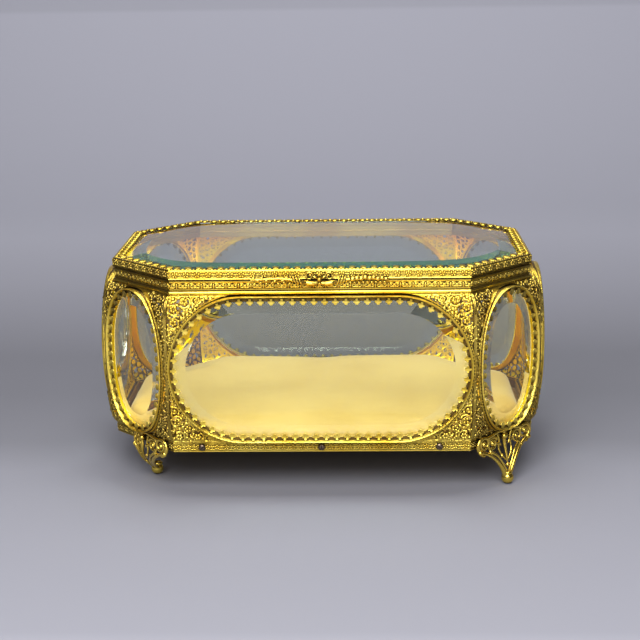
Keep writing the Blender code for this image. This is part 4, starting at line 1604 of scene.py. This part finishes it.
def lift_strokes():
    """Two plump leaves at a knot, ribbed leaves beside them, and a spray that is fuller on the right."""
    chance = random.Random("garland")
    near = [
        along_curve([(0.9, -1.3), (3.2, -1.5), (5.6, -1.1), (7.0, -0.8)], [1.6, 2.5, 2.5, 1.3], 16),
        scroll((4.3, 1.8), 1.7, math.pi, -1, turns=1.4, width=0.9, steps=18),
        leaf((1.0, 0.6), 0.9, 2.6, 1.1, bend=-0.4),
    ]
    for rib in range(4):
        near.append(leaf((7.6 + 1.35 * rib, -2.2 + 0.35 * rib), 1.0, 3.8, 1.15, bend=0.2))
    strokes = near + flipped(near)
    stem = along_curve([(12, 0.2), (18, 0.7), (25, 0.4), (LIFT_HALF - 0.6, 0.2)], [1.4, 1.3, 1.1, 0.6], 24)
    strokes += [stem, *flipped([stem])]
    for number in range(9):
        across = 13.2 + 1.9 * number
        hand = 1 if number % 2 else -1
        lean = chance.uniform(0.15, 0.5)
        shorter = 0.12 * number
        full = leaf((across, 0.7), hand * lean, 3.6 - shorter, 2.5 - 0.1 * number, bend=-hand * 0.4)
        thin = leaf((across, 0.3), -hand * (0.4 + lean), 2.9 - shorter, 1.3, bend=hand * 0.4)
        strokes += [full, *flipped([thin]), leaf((across, -0.6), -1.0, 1.8, 1.1, bend=0.5)]
    return strokes


lift_dots = [(0, 0.4, 1.0), (0, 2.5, 0.75), (0, -1.6, 0.6)]
for number in range(7):
    lift_dots.append((-(13.0 + 2.6 * number), -1.0 if number % 2 else -1.5, 0.75 - 0.03 * number))


def on_bezel(flat):
    """Ornament stands off the bezel's front, more in the middle than at its ends."""
    swell_out = 1.0 + 0.5 * np.cos(np.clip(flat[:, 0] / (LIFT_HALF * MM), -1, 1) * np.pi / 2)
    forward = -HALF_WIDTH - LIFT_STANDS_OFF - flat[:, 2] * swell_out
    return np.column_stack([flat[:, 0], forward, flat[:, 1] + LIFT_HEIGHT])


garland = drawn("garland", lift_strokes(), full_round)
lift = move_corners(joined("cast_thumb_lift", beads("lift_dots", lift_dots, 0.9), garland), on_bezel)
dress(paint(lift, polished_gilt), body="lid", replaces=["thumb_lift"])
print("thumb lift:", len(lift.data.polygons), "faces")

# %% [markdown]
# ## The screws
# Six dark domed screws hold the pan in the base band. A head is a short cylinder whose top is drawn in and up
# in steps, which makes the dome, and a slot is cut across it.

# %% Turn the screw heads
SCREW_RADIUS, SCREW_STANDS_OUT = 1.62 * MM, 1.05 * MM
SLOT_WIDTH = 0.38 * MM
DOME_STEPS = ((0.12, 0.3), (0.35, 0.3), (0.45, 0.15), (0.4, 0.04))  # how far in and up, in millimetres


def screw_master():
    select_only()
    bpy.ops.mesh.primitive_cylinder_add(vertices=24, radius=SCREW_RADIUS, depth=0.5 * MM)
    head = bpy.context.object
    bpy.ops.object.mode_set(mode="EDIT")
    bpy.ops.mesh.select_all(action="DESELECT")
    bpy.ops.mesh.select_mode(type="FACE")
    bpy.ops.object.mode_set(mode="OBJECT")
    for face in head.data.polygons:
        face.select = face.normal.z > 0.9
    bpy.ops.object.mode_set(mode="EDIT")
    for inwards, up in DOME_STEPS:
        bpy.ops.mesh.inset(thickness=inwards * MM, depth=up * MM)
    bpy.ops.object.mode_set(mode="OBJECT")
    select_only()
    bpy.ops.mesh.primitive_cube_add(size=1, location=(0, 0, 1.0 * MM))
    cutter = bpy.context.object
    cutter.dimensions = (4 * MM, SLOT_WIDTH, 0.9 * MM)
    bpy.ops.object.transform_apply()
    slotting = head.modifiers.new("Slot", "BOOLEAN")
    slotting.operation = "DIFFERENCE"
    slotting.object = cutter
    select_only(head)
    bpy.ops.object.modifier_apply(modifier="Slot")
    discard(cutter)
    bpy.ops.object.shade_smooth_by_angle(angle=math.radians(35))
    return head


screw = screw_master()
screw_names = sorted(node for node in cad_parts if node.startswith("screw_"))
for number, name in enumerate(screw_names):
    low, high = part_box(name)
    facing = -1 if low.y < 0 else 1
    face = (low.y if facing < 0 else high.y) - facing * SCREW_STANDS_OUT
    seat = Matrix.Translation(((low.x + high.x) / 2, face, (low.z + high.z) / 2))
    slot_turn = Matrix.Rotation(0.7 + 0.9 * number, 4, "Z")  # no two slots are left at the same angle
    turned = seat @ Matrix.Rotation(-facing * math.pi / 2, 4, "X") @ slot_turn
    head = paint(copied(name.replace("screw", "domed_screw"), screw, turned), steel)
    dress(head, replaces=[name])
print("screws:", len(screw_names))

# %% [markdown]
# ## The satin pad
# The floor is a thin padded board in cream satin. Its fabric is pulled over soft wadding, so it crowns a
# little and its edge rolls under. The CAD solid is remeshed into even cloth and blown up gently with the
# cloth solver, and how far it may swell is capped.

# %% Weave the satin


def satin():
    material, tree, shader = new_material("cream_satin")
    place = add_node(tree, "TexCoord").outputs["Object"]
    stretched = add_node(tree, "Mapping", {"Vector": place, "Scale": (1, 8, 1)})
    slub = add_node(tree, "TexNoise", {"Vector": stretched.outputs[0], "Scale": 90.0, "Detail": 4.0})
    cloud = add_node(tree, "TexNoise", {"Vector": place, "Scale": 22.0, "Detail": 2.0})
    tone = math_node(tree, "MULTIPLY_ADD", slub.outputs["Fac"], 0.35)
    tree.links.new(cloud.outputs["Fac"], tone.node.inputs[2])
    spread = add_node(tree, "MapRange", {"Value": tone, "From Min": 0.45, "From Max": 0.95})
    colour = mix_colours(tree, spread.outputs[0], (0.75, 0.510, 0.125, 1), (0.58, 0.365, 0.060, 1))
    tree.links.new(colour, shader.inputs["Base Color"])
    shader.inputs["Roughness"].default_value = 0.5
    shader.inputs["Sheen Weight"].default_value = 0.35
    shader.inputs["Sheen Roughness"].default_value = 0.4
    threads = []
    for direction, scale in (("X", 700.0), ("Y", 500.0)):
        waves = {"Vector": place, "Scale": scale, "Distortion": 0.5}
        threads.append(add_node(tree, "TexWave", waves, bands_direction=direction).outputs["Fac"])
    weave = math_node(tree, "MULTIPLY", *threads)
    height = math_node(tree, "MULTIPLY_ADD", slub.outputs["Fac"], 2.5)
    tree.links.new(weave, height.node.inputs[2])
    relief = add_node(tree, "Bump", {"Height": height, "Distance": 0.05 * MM, "Strength": 0.6})
    tree.links.new(relief.outputs["Normal"], shader.inputs["Normal"])
    return material


satin_cloth = satin()
print("satin:", len(satin_cloth.node_tree.nodes), "nodes")

# %% [markdown]
# The pad's CAD solid is copied, its loose triangles are merged, and a voxel remesh gives it even cloth. Then
# the pressure blows it up for twenty steps, and a smoothing and one subdivision take the grid's marks away.

# %% Stuff the pad
PAD_SWELL = 1.6 * MM
PAD_CLOTH = 3 * MM
BLOWING_STEPS = 20


def stuffed_pad():
    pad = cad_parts["cushion"].copy()
    pad.data = pad.data.copy()
    pad.parent = None
    for label in list(pad.keys()):
        del pad[label]
    bpy.context.scene.collection.objects.link(pad)
    close_seams(pad, distance=0.01 * MM)
    remesh = pad.modifiers.new("Cloth", "REMESH")
    remesh.mode = "VOXEL"
    remesh.voxel_size = PAD_CLOTH
    bpy.ops.object.modifier_apply(modifier="Cloth")
    rest = np.array([corner.co for corner in pad.data.vertices])
    cloth = pad.modifiers.new("Wadding", "CLOTH")
    cloth.settings.use_pressure = True
    cloth.settings.uniform_pressure_force = 4
    cloth.settings.effector_weights.gravity = 0
    for step in range(1, BLOWING_STEPS + 1):
        bpy.context.scene.frame_set(step)
    bpy.ops.object.modifier_apply(modifier="Wadding")
    bpy.context.scene.frame_set(1)
    blown = np.array([corner.co for corner in pad.data.vertices])
    moved = blown - rest
    length = np.linalg.norm(moved, axis=1)[:, None]
    kept = rest + moved * np.minimum(1, PAD_SWELL / np.maximum(length, 1e-9))  # capped swell
    kept[:, 2] = np.maximum(kept[:, 2], rest[:, 2].min())
    pad.data.vertices.foreach_set("co", kept.ravel())
    smooth = pad.modifiers.new("Soften", "SMOOTH")
    smooth.iterations = 4
    bpy.ops.object.modifier_apply(modifier="Soften")
    finer = pad.modifiers.new("Finer", "SUBSURF")
    finer.levels = finer.render_levels = 1
    bpy.ops.object.modifier_apply(modifier="Finer")
    bpy.ops.object.shade_smooth()
    pad.name = "satin_pad"
    return pad


pad = stuffed_pad()
pad.data.materials.clear()
dress(paint(pad, satin_cloth), replaces=["cushion"])
print("pad:", len(pad.data.polygons), "faces")

# %% [markdown]
# ## The plain pieces
# The pan under the pad, the hinge leaves and the pin have their right shapes in the CAD model, and only take
# a finish.

# %% Finish the CAD pieces that stay
plain_pieces = {"base_pan": aged, "hinge_leaf_case": aged, "hinge_leaf_lid": aged, "hinge_pin": steel}
for name, material in plain_pieces.items():
    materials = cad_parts[name].data.materials
    materials.clear()
    materials.append(material)
print("kept from the CAD model:", list(plain_pieces))

# %% [markdown]
# ## The studio
# The casket stands on a seamless sweep of pale lavender-grey card. One large soft light stands in front and
# above, so the front faces shine and the corner faces, which mirror the dim sides of the room, fall dark.

# The card's grey is painted: dark under the casket and behind it as a painted shadow, and light in front of
# it, out of sight, as painted light for the front faces to mirror. So its grey is given at some distances in
# front of and behind the casket's middle.

# %% Lay the sweep
SWEEP_HALF_WIDTH, SWEEP_FRONT, SWEEP_BACK, SWEEP_RADIUS, SWEEP_TOP = 2.2, -1.6, 1.5, 0.8, 2.4
SWEEP_COLUMNS = 8
LAVENDER = 1.15  # how much more blue than red the card is
SHADE_FROM, SHADE_TO = -0.6, 1.2
# (distance from the casket's middle, grey): the two ends first, and then the shades between them
CARD_SHADES = [
    (SHADE_FROM, 0.86),
    (SHADE_TO, 0.40),
    (-0.35, 0.82),
    (-0.2, 0.25),
    (-0.12, 0.23),
    (-0.07, 0.21),
    (-0.03, 0.19),
    (0.01, 0.14),
    (0.09, 0.12),
    (0.17, 0.122),
    (0.27, 0.17),
    (0.39, 0.225),
    (0.55, 0.29),
    (0.8, 0.36),
]


def card_with_painted_shade():
    material, tree, shader = new_material("lavender_card")
    place = add_node(tree, "TexCoord").outputs["Object"]
    along = add_node(tree, "SeparateXYZ", {0: place}).outputs["Y"]
    spread = add_node(tree, "MapRange", {"Value": along, "From Min": SHADE_FROM, "From Max": SHADE_TO})
    shade = add_node(tree, "ValToRGB", {"Fac": spread.outputs[0]})
    stops = shade.color_ramp.elements
    for number, (distance, grey) in enumerate(CARD_SHADES):
        stop = stops[number] if number < 2 else stops.new(1.0)
        stop.position = (distance - SHADE_FROM) / (SHADE_TO - SHADE_FROM)
        stop.color = (grey, grey, LAVENDER * grey, 1)
    tree.links.new(shade.outputs["Color"], shader.inputs["Base Color"])
    shader.inputs["Roughness"].default_value = 0.75
    return material


def sweep():
    arc = [math.radians(angle) for angle in range(0, 91, 10)]
    middle = SWEEP_BACK - SWEEP_RADIUS
    rise = [(middle + SWEEP_RADIUS * math.sin(angle), SWEEP_RADIUS * (1 - math.cos(angle))) for angle in arc]
    profile = [(SWEEP_FRONT, 0.0), *rise, (SWEEP_BACK, SWEEP_TOP)]

    def place(column, row):
        return ((2 * column / SWEEP_COLUMNS - 1) * SWEEP_HALF_WIDTH, *profile[row])

    card = bent_grid("studio_sweep", SWEEP_COLUMNS, len(profile) - 1, place, angle=60)
    return paint(card, card_with_painted_shade())


card = sweep()
card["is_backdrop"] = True
print("card:", 2 * SWEEP_HALF_WIDTH, "m wide")

# %% [markdown]
# A softbox is an area lamp turned to face what it lights. The key stands in front and to the left, a long low
# fill brightens the front faces, one box hangs over the lid, and the last one is for the card behind.

# %% Hang the lights
LIGHT_BOUNCES = 40  # a ray has to cross many panes, and is mirrored inside the lid's plate


def softbox(name, place, aim, size, power):
    select_only()
    bpy.ops.object.light_add(type="AREA", location=place)
    lamp = bpy.context.object
    lamp.name = name
    lamp.data.shape = "RECTANGLE"
    lamp.data.size, lamp.data.size_y = size
    lamp.data.energy = power
    lamp.rotation_mode = "QUATERNION"
    lamp.rotation_quaternion = (Vector(aim) - Vector(place)).to_track_quat("-Z", "Y")
    return lamp


softbox("key_light", place=(-0.15, -1.0, 1.0), aim=(0, -0.05, 0.03), size=(1.0, 0.7), power=23)
softbox("front_fill", place=(0.0, -1.3, 0.62), aim=(0, 0, 0.07), size=(1.6, 0.4), power=5)
softbox("top_light", place=(0.05, 0.15, 1.2), aim=(0, 0, 0.0), size=(0.9, 0.7), power=8)
softbox("backdrop_light", place=(0, -0.1, 2.2), aim=(0, 1.4, 0.5), size=(2.4, 0.6), power=19)

world = bpy.data.worlds.new("dim_room")
world.use_nodes = True
world.node_tree.nodes["Background"].inputs["Color"].default_value = (0.20, 0.20, 0.24, 1)
world.node_tree.nodes["Background"].inputs["Strength"].default_value = 0.35
bpy.context.scene.world = world
bpy.context.scene.view_settings.view_transform = "Standard"
cycles = bpy.context.scene.cycles
cycles.max_bounces = cycles.transmission_bounces = cycles.glossy_bounces = LIGHT_BOUNCES

# %% [markdown]
# ## Finish
# The helpers that the pieces were copied from are removed, and the size of this model is printed.

# %% Clear the helpers and print the size
discard(half_round, full_round, bead, t_prong, spade_prong, tooth, screw, foot_flat)
discard(*rings.values(), *rows_of_prongs.values(), *filigrees.values(), *panes.values())

low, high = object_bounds()
print("visual model:", [round(side / MM, 1) for side in high - low], "mm")
